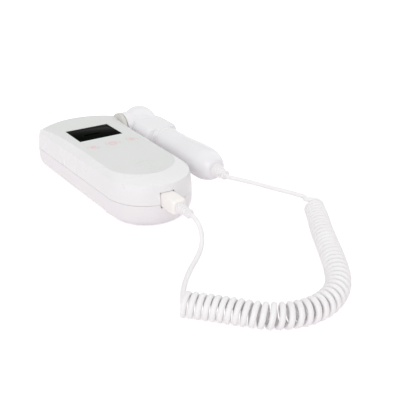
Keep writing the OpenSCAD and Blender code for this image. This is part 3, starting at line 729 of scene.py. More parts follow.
@dataclass
class Placing:
    """How finished pieces go into the scene."""

    count: int = 0

    def put(
        self, thing: bpy.types.Object, finish: Finish, body: str,
        stands_for: tuple[str, ...] = (), angle: float = CRISP,
    ) -> bpy.types.Object:
        """Shade, dress and place a piece.

        Args:
            thing: the finished object.
            finish: its material.
            body: the CAD body it rides on, or "" for one that is placed later.
            stands_for: CAD nodes that it replaces.
            angle: edges sharper than this stay crisp, in degrees.

        Returns:
            The object.
        """
        shade(thing, angle)
        thing.data.materials.clear()
        thing.data.materials.append(finish.make())
        if body:
            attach(thing, body)
        if stands_for:
            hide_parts(*stands_for)
        self.count += 1
        LOG.info("piece %s: %s, %d faces", thing.name, finish.name, len(thing.data.polygons))
        return thing

    def keep(self, node: bpy.types.Object, finish: Finish) -> None:
        """Give a CAD node that stays its material and smooth faces.

        Args:
            node: the node's object.
            finish: its material.
        """
        shade(node, CRISP)
        node.data.materials.clear()
        node.data.materials.append(finish.make())
        self.count += 1
        LOG.info("node %s: %s", node.name, finish.name)


# ---------------------------------------------------------------- case


@dataclass(frozen=True)
class Plan:
    """Outline of the case or of its panel, seen from above.

    The near end is half an ellipse, the sides flare out, and the far end is a shallow bow between two
    corner arcs.
    """

    near_hw: float
    near_cy: float
    near_depth: float
    far_hw: float
    corner_r: float
    bow_r: float
    far_y: float
    flare: float
    near_steps: int = 30
    side_steps: int = 22
    corner_steps: int = 12
    bow_steps: int = 12

    def ring(self, inset: float, z: float) -> Ring:
        """Closed ring of the outline.

        Args:
            inset: how far it is drawn in.
            z: its height.

        Returns:
            Points anticlockwise from the middle of the near end.
        """
        bow_cy = self.far_y - self.bow_r
        far_cx = self.far_hw - self.corner_r
        far_cy = bow_cy + math.sqrt((self.bow_r - self.corner_r) ** 2 - far_cx**2)
        bow_angle = math.atan2(far_cy - bow_cy, far_cx)
        near = np.radians(np.linspace(0, 90, self.near_steps + 1))[1:]
        near_x = (self.near_hw - inset) * np.sin(near)
        near_y = self.near_cy - (self.near_depth - inset) * np.cos(near)
        half = [np.column_stack([near_x, near_y])]
        t = np.linspace(0, 1, self.side_steps + 1)[1:-1]
        wide = self.near_hw + (self.far_hw - self.near_hw) * t**self.flare - inset
        half.append(np.column_stack([wide, self.near_cy + (far_cy - self.near_cy) * t]))
        a = np.linspace(0, bow_angle, self.corner_steps + 1)
        r = self.corner_r - inset
        half.append(np.column_stack([far_cx + r * np.cos(a), far_cy + r * np.sin(a)]))
        a = np.linspace(bow_angle, math.pi / 2, self.bow_steps + 1)[1:-1]
        r = self.bow_r - inset
        half.append(np.column_stack([r * np.cos(a), bow_cy + r * np.sin(a)]))
        right = np.vstack(half)
        near_mid = [[0.0, self.near_cy - self.near_depth + inset]]
        far_mid = [[0.0, self.far_y - inset]]
        flat = np.vstack([near_mid, right, far_mid, (right * [-1, 1])[::-1]])
        return np.column_stack([flat, np.full(len(flat), z)])


CASE = Plan(33.0, -52.0, 32.0, 37.0, 11.0, 81.0, 84.0, 1.0)
PANEL = Plan(26.5, -40.0, 27.0, 33.5, 4.5, 48.0, 78.0, 4.0)


@dataclass(frozen=True)
class Door:
    """Battery door: a plate on two hinge pins, with a finger notch, grip grooves and an arrow."""

    half_w: float = 16.6
    hinge_y: float = -67.4
    hinge_z: float = 1.0
    end_y: float = -9.6
    thick: float = 2.0
    edge: float = 0.35
    barrel_r: float = 1.0
    pin_r: float = 0.5
    pin_reach: float = 17.8
    pin_ease: float = 0.1
    notch_y: float = -3.6
    notch_r: float = 9.0
    notch_h: float = 0.8
    grooves: tuple[float, ...] = (-18.5, -20.7, -22.9, -25.1)
    groove_half: float = 9.0
    groove_w: float = 0.9
    groove_h: float = 0.45
    arrow: tuple[tuple[float, float], ...] = ((-3.2, -29.5), (0, -34), (3.2, -29.5))
    arrow_h: float = 0.3
    opening_hw: float = 16.85
    opening_hl: float = 29.65
    opening_h: float = 2.05
    bore_r: float = 0.56
    bore_reach: float = 18.1

    def opening(self, middle_y: float) -> list[Shape]:
        """What the lower shell leaves free for the door.

        Args:
            middle_y: middle of the opening along the case.

        Returns:
            The opening and the bore of the hinge pins.
        """
        low = (-self.opening_hw, middle_y - self.opening_hl, UNDER)
        high = (self.opening_hw, middle_y + self.opening_hl, self.opening_h)
        start = (-self.bore_reach, self.hinge_y, self.hinge_z)
        return [block(low, high), rod_x(start, self.bore_r, 2 * self.bore_reach)]

    def plate(self) -> bpy.types.Object:
        """Plate with its barrel, pins, notch, grooves and arrow.

        Returns:
            The door, closed.
        """
        w, reach = self.half_w, self.pin_reach
        door = new_object("door_plate", block((-w, self.hinge_y, 0), (w, self.end_y, self.thick)))
        bevel(door, self.edge, 3)
        barrel = turned([(0, -w), (self.barrel_r, -w), (self.barrel_r, w), (0, w)], Turn.X, 32)
        tip, side = self.pin_r - self.pin_ease, reach - self.pin_ease
        pin = [(0, -reach), (tip, -reach), (self.pin_r, -side), (self.pin_r, side), (tip, reach), (0, reach)]
        place = Matrix.Translation((0, self.hinge_y, self.hinge_z))
        combine(door, [barrel.moved(place), turned(pin, Turn.X, 32).moved(place)], Role.ADD)
        half = self.groove_half
        cuts = [post(0, self.notch_y, UNDER, self.notch_h, self.notch_r, 96)]
        cuts += [block((-half, y, UNDER), (half, y + self.groove_w, self.groove_h)) for y in self.grooves]
        cuts.append(prism(np.array(self.arrow), UNDER, self.arrow_h))
        combine(door, cuts, Role.CUT)
        return door


@dataclass(frozen=True)
class Case:
    """The two shells with their bosses, battery bay, screws and door."""

    height: float = 36.0
    parting_z: float = 18.5
    parting_gap: float = 0.3
    parting_ease: float = 0.15
    wall: float = 2.0
    floor_t: float = 3.0
    round_w: float = 9.0
    round_h: float = 11.0
    shoulder_in: float = 2.0
    shoulder_z: float = 32.5
    shoulder_ease: float = 0.55
    slope_rise: float = 0.8
    lip_in: float = 1.1
    lip_play: float = 0.1
    lip_over: float = 0.2
    lip_z: float = 20.0
    ceiling_z: float = 33.5
    film_t: float = 0.5
    film_play: float = 0.06
    rim_out: float = 0.3
    rim_ease: float = 0.25
    boss_r: float = 3.25
    boss_foot: float = 2.9
    boss_sink: float = 0.2
    pillar_r: float = 2.5
    pillar_z: float = 29.2
    screws: tuple[tuple[float, float], ...] = ((-26, -40), (26, -40), (-26, 62), (26, 62))
    board_screws: tuple[tuple[float, float], ...] = ((-24.5, -26), (24.5, -26), (-24.5, 14), (24.5, 14))
    pilot: tuple[float, float, float] = (17.0, 28.5, 1.25)
    board_pilot: tuple[float, float, float] = (28.0, 33.0, 1.0)
    shank_hole: tuple[float, float] = (19.0, 1.5)
    head_hole: tuple[float, float] = (8.0, 3.0)
    cup_at: Point = (33.0, 55.0, 28.0)
    cup_r: float = 12.65
    cup_space_l: float = 20.0
    cup_sink: float = 0.15
    plug_at: tuple[float, float] = (-2.0, 21.8)
    plug_space_half: tuple[float, float] = (5.7, 5.8)
    near_wall: tuple[float, float] = (-86.0, -79.0)
    window: tuple[float, float, float, float] = (-1.0, 33.75, 38.0, 29.5)
    window_play: float = 0.15
    window_ledge: float = 1.5
    window_seat: float = 34.1
    keys: tuple[tuple[float, float], ...] = ((-16.7, 4.5), (0.3, 6.0), (17.3, 4.5))
    key_y: float = 2.4
    key_play: float = 0.15
    inside_z: float = 32.0
    bay: tuple[float, float, float] = (15.2, 27.5, 17.3)
    bay_y: float = -39.0
    bay_wall: float = 2.0
    bay_foot: float = 1.0
    door: Door = Door()

    def plug_space(self) -> Shape:
        """Opening for the plug in the near wall."""
        (x, z), (hw, hh), (y0, y1) = self.plug_at, self.plug_space_half, self.near_wall
        return block((x - hw, y0, z - hh), (x + hw, y1, z + hh))

    def cup_space(self) -> Shape:
        """Round pocket for the probe's cup."""
        x, y, z = self.cup_at
        return rod_x((x - self.cup_sink, y, z), self.cup_r, self.cup_space_l)

    def top_rings(self) -> list[Ring]:
        """Sections of the upper shell.

        Returns:
            Rings from the ceiling out to the lip, up the side, over the shoulder and down to the film's seat.
        """
        edge = self.parting_z + self.parting_gap / 2
        side_h = self.shoulder_z - self.parting_z
        inner = self.lip_in - self.lip_play
        lip_z = self.lip_z + self.lip_over
        shoulder = CASE.ring(self.shoulder_in, self.shoulder_z)
        land = PANEL.ring(-self.rim_out, self.height)
        way = land - shoulder
        slope = [shoulder + way * t + [0, 0, self.slope_rise * t * (1 - t)] for t in (0.2, 0.4, 0.6, 0.8)]
        sides = [
            CASE.ring(self.shoulder_in * u * u, self.parting_z + side_h * u)
            for u in (0.1, 0.25, 0.4, 0.55, 0.7, 0.8, 0.9, 0.96)
        ]
        brim = PANEL.ring(-self.film_play, self.height)
        return [
            PANEL.ring(self.wall, self.ceiling_z),
            CASE.ring(self.shoulder_in + self.wall, self.shoulder_z - self.wall),
            CASE.ring(self.wall, lip_z),
            CASE.ring(inner, lip_z),
            CASE.ring(inner, edge),
            *eased(CASE.ring(inner, edge), CASE.ring(0, edge), sides[0], self.parting_ease, 3),
            *sides,
            *eased(sides[-1], shoulder, slope[0], self.shoulder_ease),
            *slope,
            *eased(slope[-1], land, brim, self.rim_ease, 3),
            brim,
            PANEL.ring(-self.film_play, self.height - self.film_t),
        ]

    def top_shell(self) -> bpy.types.Object:
        """Upper shell with its crisp shoulder and the recess for the film.

        Returns:
            The shell with its bosses, openings and sound slots.
        """
        shell = new_object("upper_shell", loft(self.top_rings()))
        sunk = self.ceiling_z + self.boss_sink
        bosses = [post(x, y, self.parting_z, sunk, self.boss_r) for x, y in self.screws]
        bosses += [post(x, y, self.pillar_z, sunk, self.pillar_r) for x, y in self.board_screws]
        combine(shell, bosses, Role.ADD)
        x, y, w, d = self.window
        hw, hd = w / 2 + self.window_play, d / 2 + self.window_play
        cuts = [block((x - hw, y - hd, self.window_seat), (x + hw, y + hd, OVER))]
        hw, hd = w / 2 - self.window_ledge, d / 2 - self.window_ledge
        cuts.append(block((x - hw, y - hd, self.inside_z), (x + hw, y + hd, self.height)))
        cuts += [self.plug_space(), self.cup_space()]
        cuts += [post(kx, self.key_y, self.inside_z, OVER, r + self.key_play) for kx, r in self.keys]
        cuts += [post(x, y, *self.pilot) for x, y in self.screws]
        cuts += [post(x, y, *self.board_pilot) for x, y in self.board_screws]
        cuts += [prism(strip, self.inside_z, OVER) for strip in SoundArcs().strips()]
        combine(shell, cuts, Role.CUT)
        return shell

    def rounded(self, inset: float, foot: float, step: int) -> list[Ring]:
        """Rings of the rounded lower edge, from the floor up.

        Args:
            inset: how far they lie inside the outline.
            foot: height of the first ring.
            step: degrees between two rings.

        Returns:
            The rings.
        """
        made = []
        for a in np.radians(np.arange(0, 91, step)):
            drawn_in = self.round_w - (self.round_w - inset) * math.sin(a)
            made.append(CASE.ring(drawn_in, foot + (self.round_h - foot) * (1 - math.cos(a))))
        return made

    def bottom_shell(self) -> bpy.types.Object:
        """Lower shell with its rounded edge, bay, bosses and screw holes.

        Returns:
            The shell.
        """
        edge = self.parting_z - self.parting_gap / 2
        wall = [CASE.ring(0, z) for z in (13.0, 15.5)]
        rings = [
            *self.rounded(0, 0, 6), *wall,
            *eased(wall[-1], CASE.ring(0, edge), CASE.ring(self.lip_in, edge), self.parting_ease, 3),
            CASE.ring(self.lip_in, edge), CASE.ring(self.lip_in, self.lip_z),
            CASE.ring(self.wall, self.lip_z),
            *self.rounded(self.wall, self.floor_t, 9)[::-1],
        ]
        shell = new_object("lower_shell", loft(rings))
        hw, hl, top = self.bay
        out, mid = self.bay_wall, self.bay_y
        walls = [block((-hw - out, mid - hl - out, self.bay_foot), (hw + out, mid + hl + out, top + out))]
        walls += [post(x, y, self.boss_foot, self.parting_z, self.boss_r) for x, y in self.screws]
        combine(shell, walls, Role.ADD)
        cuts = [block((-hw, mid - hl, UNDER), (hw, mid + hl, top)), *self.door.opening(mid)]
        cuts += [self.plug_space(), self.cup_space()]
        for x, y in self.screws:
            cuts += [post(x, y, UNDER, *self.shank_hole), post(x, y, UNDER, *self.head_hole)]
        combine(shell, cuts, Role.CUT)
        return shell

    def screw_heads(self) -> bpy.types.Object:
        """Four cross-recessed screws.

        Returns:
            The screws as one object.
        """
        tip_z, taper_z, seat_z, rim_z, head_z = 27.5, 26.5, 8.0, 6.6, 5.9
        tip_r, shank_r, head_r, crown_r = 0.6, 1.2, 2.7, 2.3
        profile = [
            (0, tip_z), (tip_r, tip_z), (shank_r, taper_z), (shank_r, seat_z), (head_r, seat_z),
            (head_r, rim_z), (crown_r, head_z), (0, head_z),
        ]
        first, *others = [
            turned(profile, Turn.Z, 40).moved(Matrix.Translation((x, y, 0))) for x, y in self.screws
        ]
        screws = new_object("case_screw_set", first.joined(*others))
        long, thin, low, high = 1.6, 0.3, 5.0, 6.9
        cross = [
            block((x - hw, y - hd, low), (x + hw, y + hd, high))
            for hw, hd in ((long, thin), (thin, long))
            for x, y in self.screws
        ]
        combine(screws, cross, Role.CUT)
        return screws

    def build(self, placing: Placing) -> None:
        """Build and dress the case.

        Args:
            placing: how pieces are placed.
        """
        placing.put(self.top_shell(), SHELL_ABS, "case", ("top_shell",), 28)
        # Lower shell and door take the upper ABS with painted shade in a darker, pinker tone
        placing.put(self.bottom_shell(), BASE_ABS_SHADED, "case", ("bottom_shell",), 28)
        placing.put(self.door.plate(), BASE_ABS_SHADED, "door", ("battery_door",), 30)
        placing.put(self.screw_heads(), ZINC_STEEL, "case", ("case_screws",), 30)


# ---------------------------------------------------------------- front panel


@dataclass(frozen=True)
class SoundArcs:
    """Curved sound slots: three radii, two arcs each."""

    centre: tuple[float, float] = (1.0, -55.0)
    pitch: float = 4.0
    width: float = 1.1
    first: float = 35.0
    sweep: float = 110.0

    def strips(self) -> list[np.ndarray]:
        """Outlines of the arcs, from the middle out."""
        return [
            arc_strip(self.centre, k * self.pitch, self.width, self.first + turn, self.sweep)
            for k in (1, 2, 3)
            for turn in (0, 180)
        ]


@dataclass(frozen=True)
class FrontPanel:
    """The film with its display window, the keys and their prints, set into the case's top."""

    case: Case
    film_edge: float = 0.12
    emboss_h: float = 0.14
    emboss_sink: float = 0.1
    opening_play: float = 0.15
    opening_flare: float = 0.22
    opening_z: float = 35.0
    key_play: float = 0.12
    window_top: float = 35.6
    window_t: float = 1.5
    window_edge: float = 0.15
    print_sink: float = 0.05
    print_h: float = 0.01
    key_top: float = 36.15
    key_base: float = 32.65
    key_edge: float = 0.35
    flange: float = 1.0
    flange_t: float = 0.7
    dish: float = 0.08
    dish_share: float = 0.8
    disc_share: float = 0.78
    disc_h: float = 0.012
    disc_t: float = 0.2
    mark_sink: float = 0.15
    mark_h: float = 0.03

    def film(self) -> bpy.types.Object:
        """Panel film with its openings and embossed arcs.

        Returns:
            The film.
        """
        top = self.case.height
        edge, inner = PANEL.ring(0, top), PANEL.ring(0.5, top)
        low = PANEL.ring(0, top - self.case.film_t)
        film = new_object("panel_film", loft([low, *eased(low, edge, inner, self.film_edge, 3), inner]))
        raised = [prism(strip, top - self.emboss_sink, top + self.emboss_h) for strip in SoundArcs().strips()]
        combine(film, raised, Role.ADD)
        x, y, w, d = self.case.window
        hw, hd = w / 2 + self.opening_play, d / 2 + self.opening_play
        flare = self.opening_flare
        steps = ((0.0, self.opening_z), (0.0, top - flare), (2 * flare, top + flare))
        cuts = [loft([rectangle(x, y, hw + g, hd + g, z) for g, z in steps]), self.case.cup_space()]
        cuts += [
            post(kx, self.case.key_y, self.opening_z, OVER, r + self.key_play) for kx, r in self.case.keys
        ]
        combine(film, cuts, Role.CUT)
        return film

    def pane(self) -> bpy.types.Object:
        """Smoked window, its upper edge eased.

        Returns:
            The window.
        """
        x, y, w, d = self.case.window
        low = self.window_top - self.window_t
        shape = block((x - w / 2, y - d / 2, low), (x + w / 2, y + d / 2, self.window_top))
        pane = new_object("window_pane", shape)
        bevel(pane, self.window_edge, 2)
        return pane

    def traces(self) -> bpy.types.Object:
        """Plain pulse trace, battery mark and scale dots on the dark display.

        Returns:
            The prints as one object.
        """
        x, y = self.case.window[:2]
        low, high = self.window_top - self.print_sink, self.window_top + self.print_h
        beat = [(0, 0), (1.2, 0), (1.6, 0.7), (2.0, -0.5), (2.4, 1.3), (2.8, -0.9), (3.2, 0.3), (3.8, 0)]
        beats, beat_l, from_x, line_y, line_w = 4, 4.6, -12, -2.5, 0.28
        line = [(x + from_x + beat_l * k + u, y + line_y + v) for k in range(beats) for u, v in beat]
        boxes = [(13, 11.2, 16, 12.6), (16, 11.6, 16.4, 12.2)]
        boxes += [(-15 + 3 * k, -12.2, -14.6 + 3 * k, -11.4) for k in range(11)]
        prints = [block((x + x0, y + y0, low), (x + x1, y + y1, high)) for x0, y0, x1, y1 in boxes]
        return new_object("display_traces", ribbon(line, line_w, low, high).joined(*prints))

    def dished(self, radius: float, top: float, first: float) -> list[tuple[float, float]]:
        """Profile of the shallow dish in a key.

        Args:
            radius: radius of the key.
            top: height of its rim.
            first: share of the radius at which the profile starts.

        Returns:
            (radius, height) from the first point to the middle.
        """
        shares = (first, 0.6, 0.4, 0.2)
        bowl = [(radius * s, top - self.dish * (1 - (s / self.dish_share) ** 2)) for s in shares]
        return [*bowl, (0, top - self.dish)]

    def upright(
        self, name: str, profile: list[tuple[float, float]], x: float, steps: int
    ) -> bpy.types.Object:
        """Turned object at a key's place."""
        place = Matrix.Translation((x, self.case.key_y, 0))
        return new_object(name, turned(profile, Turn.Z, steps).moved(place))

    def key(self, name: str, x: float, r: float) -> bpy.types.Object:
        """One round key with an eased rim and a shallow dish.

        Args:
            name: the object's name.
            x: its place across the case.
            r: its radius.

        Returns:
            The key.
        """
        top, base, edge = self.key_top, self.key_base, self.key_edge
        seat, foot_r = base + self.flange_t, r + self.flange
        rim = [
            (r - edge + edge * math.cos(a), top - edge + edge * math.sin(a))
            for a in np.radians([0, 25, 50, 75, 90])
        ]
        profile = [(0, base), (foot_r, base), (foot_r, seat), (r, seat), *rim]
        return self.upright(name, profile + self.dished(r, top, self.dish_share), x, 72)

    def disc(self, name: str, x: float, r: float) -> bpy.types.Object:
        """Pale printed disc that follows the key's dish.

        Args:
            name: the object's name.
            x: its place across the case.
            r: radius of the key.

        Returns:
            The disc.
        """
        top = self.key_top + self.disc_h
        low = top - self.disc_t
        profile = [(0, low), (r * self.disc_share, low), *self.dished(r, top, self.disc_share)]
        return self.upright(name, profile, x, 64)

    def marks(self) -> dict[str, Shape]:
        """Generic marks: sound on the left key, power in the middle, light on the right.

        Returns:
            The mark of each side.
        """
        y, low, high = self.case.key_y, self.key_top - self.mark_sink, self.key_top + self.mark_h
        left, mid, right = (x for x, _ in self.case.keys)
        horn_line = [(-1.9, -0.5), (-1.1, -0.5), (0, -1.5), (0, 1.5), (-1.1, 0.5), (-1.9, 0.5)]
        horn = prism(np.array(horn_line) + [left, y], low, high)
        waves = [prism(arc_strip((left, y), r, 0.35, -40, 80), low, high) for r in (1.3, 2.3)]
        ring = prism(arc_strip((mid, y), 2.9, 0.55, 120, 300), low, high)
        bar = block((mid - 0.28, y + 0.8, low), (mid + 0.28, y + 3.4, high))
        bulb = prism(arc_strip((right, y), 1.35, 0.4, 0, 358), low, high)
        rays = []
        for a in np.radians(np.arange(0, 360, 60)):
            way = np.array([math.cos(a), math.sin(a)])
            ends = [tuple(way * reach + [right, y]) for reach in (1.8, 2.6)]
            rays.append(ribbon(ends, 0.35, low, high))
        return {"left": horn.joined(*waves), "middle": ring.joined(bar), "right": bulb.joined(*rays)}

    def build(self, placing: Placing) -> None:
        """Build and dress the panel and keys.

        Args:
            placing: how pieces are placed.
        """
        placing.put(self.film(), PANEL_FILM, "case", ("top_panel",), 25)
        placing.put(self.pane(), SMOKED_ACRYLIC, "case", ("display_window",), 30)
        placing.put(self.traces(), SEGMENT_GREEN, "case")
        marks = self.marks()
        for side, (x, r) in zip(("left", "middle", "right"), self.case.keys):
            body = side + "_key"
            placing.put(self.key("cap_" + side, x, r), KEY_CAP, body, ("key_" + side,), 30)
            placing.put(self.disc("disc_" + side, x, r), KEY_DISC_INK, body, (), 30)
            placing.put(new_object("mark_" + side, marks[side]), KEY_MARK_INK, body, (), 30)


# ---------------------------------------------------------------- cup and plug


@dataclass(frozen=True)
class CupAndPlug:
    """The probe's cup in the case and the plug with its ribbed relief."""

    case: Case
    cup_r: float = 12.5
    cup_l: float = 3.3
    cup_wall: float = 1.6
    cup_back_t: float = 1.4
    plug_w: float = 10.8
    plug_h: float = 11.0
    plug_cut: float = 1.2
    plug_edge: float = 0.45
    tip_y: float = -99.0
    tip_l: float = 2.2
    tip_in: float = 0.9
    back_y: float = -80.5
    nose_y: float = -72.5
    nose_half: tuple[float, float] = (4.5, 3.5)
    nose_cut: float = 0.4
    relief_l: float = 12.0
    relief_thin: float = 3.2
    relief_thick: float = 4.3

    def cup(self) -> bpy.types.Object:
        """Round cup with a rolled rim.

        Returns:
            The cup in the case's side.
        """
        r, back, lip = self.cup_r, self.cup_back_t, self.cup_wall / 2
        inner = r - self.cup_wall
        rim = [
            (r - lip + lip * math.cos(a), self.cup_l - lip + lip * math.sin(a))
            for a in np.radians(range(0, 181, 15))
        ]
        foot = [(0, 0), (r - 0.6, 0), (r - 0.2, 0.2), (r, 0.6)]
        hollow = [(inner, back + 0.8), (inner - 0.25, back + 0.25), (inner - 0.8, back), (0, back)]
        cup = turned([*foot, *rim, *hollow], Turn.X, 128)
        return new_object("cup_ring", cup.moved(Matrix.Translation(self.case.cup_at)))

    def section(self, y: float, half_w: float, half_h: float, cut: float) -> Ring:
        """Eight-sided section of the plug.

        Args:
            y: its place along the case.
            half_w: half its width.
            half_h: half its height.
            cut: size of the cut corners.

        Returns:
            The section's corners.
        """
        x, z = self.case.plug_at
        w, h = half_w - cut, half_h - cut
        flat = [
            (-w, -half_h), (w, -half_h), (half_w, -h), (half_w, h),
            (w, half_h), (-w, half_h), (-half_w, h), (-half_w, -h),
        ]
        return np.array([(x + u, y, z + v) for u, v in flat])

    def plug(self) -> bpy.types.Object:
        """Moulded plug: an eased box that narrows at the cord, and a nose with contact grooves.

        Returns:
            The plug, pushed in.
        """
        x, z = self.case.plug_at
        hw, hh, cut = self.plug_w / 2, self.plug_h / 2, self.plug_cut
        box = [
            self.section(self.back_y, hw, hh, cut), self.section(self.tip_y + self.tip_l, hw, hh, cut),
            self.section(self.tip_y, hw - self.tip_in, hh - self.tip_in, cut),
        ]
        body = new_object("plug_moulding", loft(box))
        bevel(body, self.plug_edge, 3, 20)
        ends = (self.nose_y, self.back_y - 0.1)
        combine(body, [loft([self.section(y, *self.nose_half, self.nose_cut) for y in ends])], Role.ADD)
        pitch, width, back, front, low, high = 1.8, 0.8, -78, -73, 3.0, 4.0
        starts = [x - 3.1 + pitch * k for k in range(4)]
        slots = [block((start, back, z + low), (start + width, front, z + high)) for start in starts]
        combine(body, slots, Role.CUT)
        return body

    def build(self, placing: Placing) -> None:
        """Build and dress the cup, plug and relief.

        Args:
            placing: how pieces are placed.
        """
        # The cup's finish carries painted shade in its greyed tone
        placing.put(self.cup(), CUP_ABS_SHADED, "case", ("probe_cup",), 35)
        placing.put(self.plug(), PLUG_TPE, "plug", ("plug_body",), 30)
        x, z = self.case.plug_at
        sleeve = ribbed_sleeve(self.relief_l, self.relief_thin, self.relief_thick)
        place = Matrix.Translation((x, self.tip_y - self.relief_l, z))
        relief = new_object("plug_relief", sleeve.moved(place))
        placing.put(relief, CORD_PU, "plug", ("plug_strain_relief",), 50)


def ribbed_sleeve(length: float, thin: float, thick: float, ribs: int = 4) -> Shape:
    """Tapering strain relief along +Y with rounded ribs and a collar at its thin end.

    Args:
        length: its length.
        thin: radius at the cord's end.
        thick: radius at the other end.
        ribs: number of ribs.

    Returns:
        The sleeve, its thin end at zero.
    """
    collar_l, groove = 1.6, 1.3
    half = collar_l / 2
    pitch = (length - collar_l) / ribs
    rib = 0.27 * pitch
    arc = np.radians(np.arange(0, 181, 20))
    profile = [(0.0, 0.0)]
    profile += [(thin - 0.5 + 0.7 * math.sin(a), half - half * math.cos(a)) for a in arc]
    for k in range(ribs):
        foot = collar_l + k * pitch
        r = thin + (thick - thin) * (foot - collar_l) / (length - collar_l) - groove
        mid = foot + 0.62 * pitch
        profile.append((r, foot + 0.12 * pitch))
        profile += [(r + groove * math.sin(a) ** 0.7, mid - rib * math.cos(a)) for a in arc]
    profile += [(thick - 0.5, length), (0.0, length)]
    return turned(profile, Turn.Y, 72)


# ---------------------------------------------------------------- cord


@dataclass(frozen=True)
class CurlyCord:
    """The cord: a stretch from the plug, the curls on the table and a stretch to the probe."""

    diameter: float = 3.5
    curl_od: float = 15.5
    curls: int = 46
    rings: int = 24
    axis: tuple[tuple[float, float], ...] = (
        (-50, -175), (-38.5, -186.5), (-28.5, -198.5), (-16.5, -212), (0.5, -219.5), (19, -219.5),
        (36, -211), (48, -197), (57.5, -183.5), (66.5, -170.5), (75.5, -157), (85.5, -144.5), (94.5, -131.5),
    )
    exit: Point = (-2.0, -111.0, 21.8)
    rest_z: float = 1.9
    plug_route: tuple[Point, ...] = (
        (0, 0, 1), (0, -3.5, 1), (0.2, -7, 0.93), (0.4, -10, 0.81), (0.3, -12.4, 0.65), (-0.4, -14.5, 0.47),
        (-2, -16.6, 0.3), (-5, -19, 0.14), (-9.5, -22, 0.035), (-14.5, -25.5, 0), (-20, -30, 0),
        (-26, -35.5, 0), (-31.5, -41, 0), (-36.5, -46.8, 0), (-40.5, -52.5, 0), (-43.5, -57.5, 0),
    )
    probe_route: tuple[Point, ...] = (
        (0.068, 1.5, 0.2), (0.171, 2.1, 0), (0.285, 2, 0), (0.404, 1.5, -0.1), (0.524, 1, 0),
        (0.642, 0.4, 0.2), (0.756, -0.3, 0.3), (0.855, -1.2, 0.3), (0.929, -1.4, 0.2),
    )

    def plug_points(self) -> list[Point]:
        """Points from the plug's relief down to the table.

        Returns:
            The points, from the route's offsets and its shares of the exit's height.
        """
        x, y, z = self.exit
        drop = z - self.rest_z
        return [(x + dx, y + dy, self.rest_z + drop * share) for dx, dy, share in self.plug_route]

    def probe_points(self, start: np.ndarray, end: np.ndarray) -> list[Point]:
        """Points between the curls and the probe.

        Args:
            start: end of the curls.
            end: where the cord enters the probe's relief.

        Returns:
            Points at shares of the way, each moved sideways and up.
        """
        span = end - start
        side = np.array([span[1], -span[0], 0.0])
        side /= np.linalg.norm(side)
        return [tuple(start + t * span + across * side + [0, 0, up]) for t, across, up in self.probe_route]

    def axis_at(self, u: float) -> np.ndarray:
        """Point of the curls' axis, a cubic spline near the named points.

        Args:
            u: share of its length.

        Returns:
            The point.
        """
        p = np.array(self.axis, float)
        n = len(p) - 1
        i = min(n - 1, max(0, math.floor(u * n)))
        t = u * n - i
        a = 2 * p[0] - p[1] if i == 0 else p[i - 1]
        d = 2 * p[n] - p[n - 1] if i == n - 1 else p[i + 2]
        b, c = p[i], p[i + 1]
        near = (1 - t) ** 3 * a + (3 * t**3 - 6 * t * t + 4) * b
        far = (1 + 3 * t + 3 * t * t - 3 * t**3) * c + t**3 * d
        return (near + far) / 6

    def curl_at(self, turns: float) -> np.ndarray:
        """Point of the centre line of the curls.

        Args:
            turns: number of turns from the first point.

        Returns:
            The point.
        """
        u = turns / self.curls
        near = 0.002
        r = (self.curl_od - self.diameter) / 2
        centre = self.axis_at(u)
        ahead = self.axis_at(u + near) - self.axis_at(u - near)
        ahead /= np.linalg.norm(ahead)
        a = 2 * math.pi * turns - math.pi / 2
        side = r * math.cos(a)
        height = self.curl_od / 2 + r * math.sin(a)
        return np.array([centre[0] + side * ahead[1], centre[1] - side * ahead[0], height])

    def ends(self) -> tuple[np.ndarray, np.ndarray, np.ndarray, np.ndarray]:
        """Ends of the curls, each a cord's width past the first or last turn.

        Returns:
            First point, direction there, last point, direction there.
        """
        step = 1 / 16
        last = self.curls + 0.5
        way_in = self.curl_at(step) - self.curl_at(-step)
        way_out = self.curl_at(last + step) - self.curl_at(last - step)
        way_in /= np.linalg.norm(way_in)
        way_out /= np.linalg.norm(way_out)
        start = self.curl_at(0) - self.diameter * way_in
        end = self.curl_at(last) + self.diameter * way_out
        return start, way_in, end, way_out

    def piece(self, name: str, path: np.ndarray, sides: int) -> bpy.types.Object:
        """Tube of the cord's diameter along a path in millimetres."""
        return new_object(name, tube(path, self.diameter / 2, sides))

    def build(self, placing: Placing, probe_end: np.ndarray, probe_way: np.ndarray) -> None:
        """Build the three lengths.

        Args:
            placing: how pieces are placed.
            probe_end: where the cord enters the probe's relief.
            probe_way: direction there, into the relief.
        """
        start, way_in, end, way_out = self.ends()
        lead = smooth_path([*self.plug_points(), tuple(start - self.diameter * way_in), tuple(start)], 4)
        stretch = self.piece("cord_at_plug", lead, 20)
        placing.put(stretch, CORD_PU, "", ("cord_plug_stretch",), 60)
        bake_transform(stretch)

        turns = np.arange(0, (self.curls + 0.5) * self.rings + 0.5) / self.rings
        helix = np.vstack([[start], [self.curl_at(t) for t in turns], [end]])
        curls = self.piece("cord_in_curls", helix, 14)
        placing.put(curls, CORD_PU, "case", ("cord_curls",), 60)

        back = smooth_path(
            [
                tuple(end), tuple(end + self.diameter * way_out), *self.probe_points(end, probe_end),
                tuple(probe_end - self.diameter * probe_way), tuple(probe_end),
            ],
            4,
        )[::-1]
        tail = self.piece("cord_at_probe", back, 20)
        placing.put(tail, CORD_PU, "", ("cord_probe_stretch",), 60)
        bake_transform(tail)


# ---------------------------------------------------------------- probe


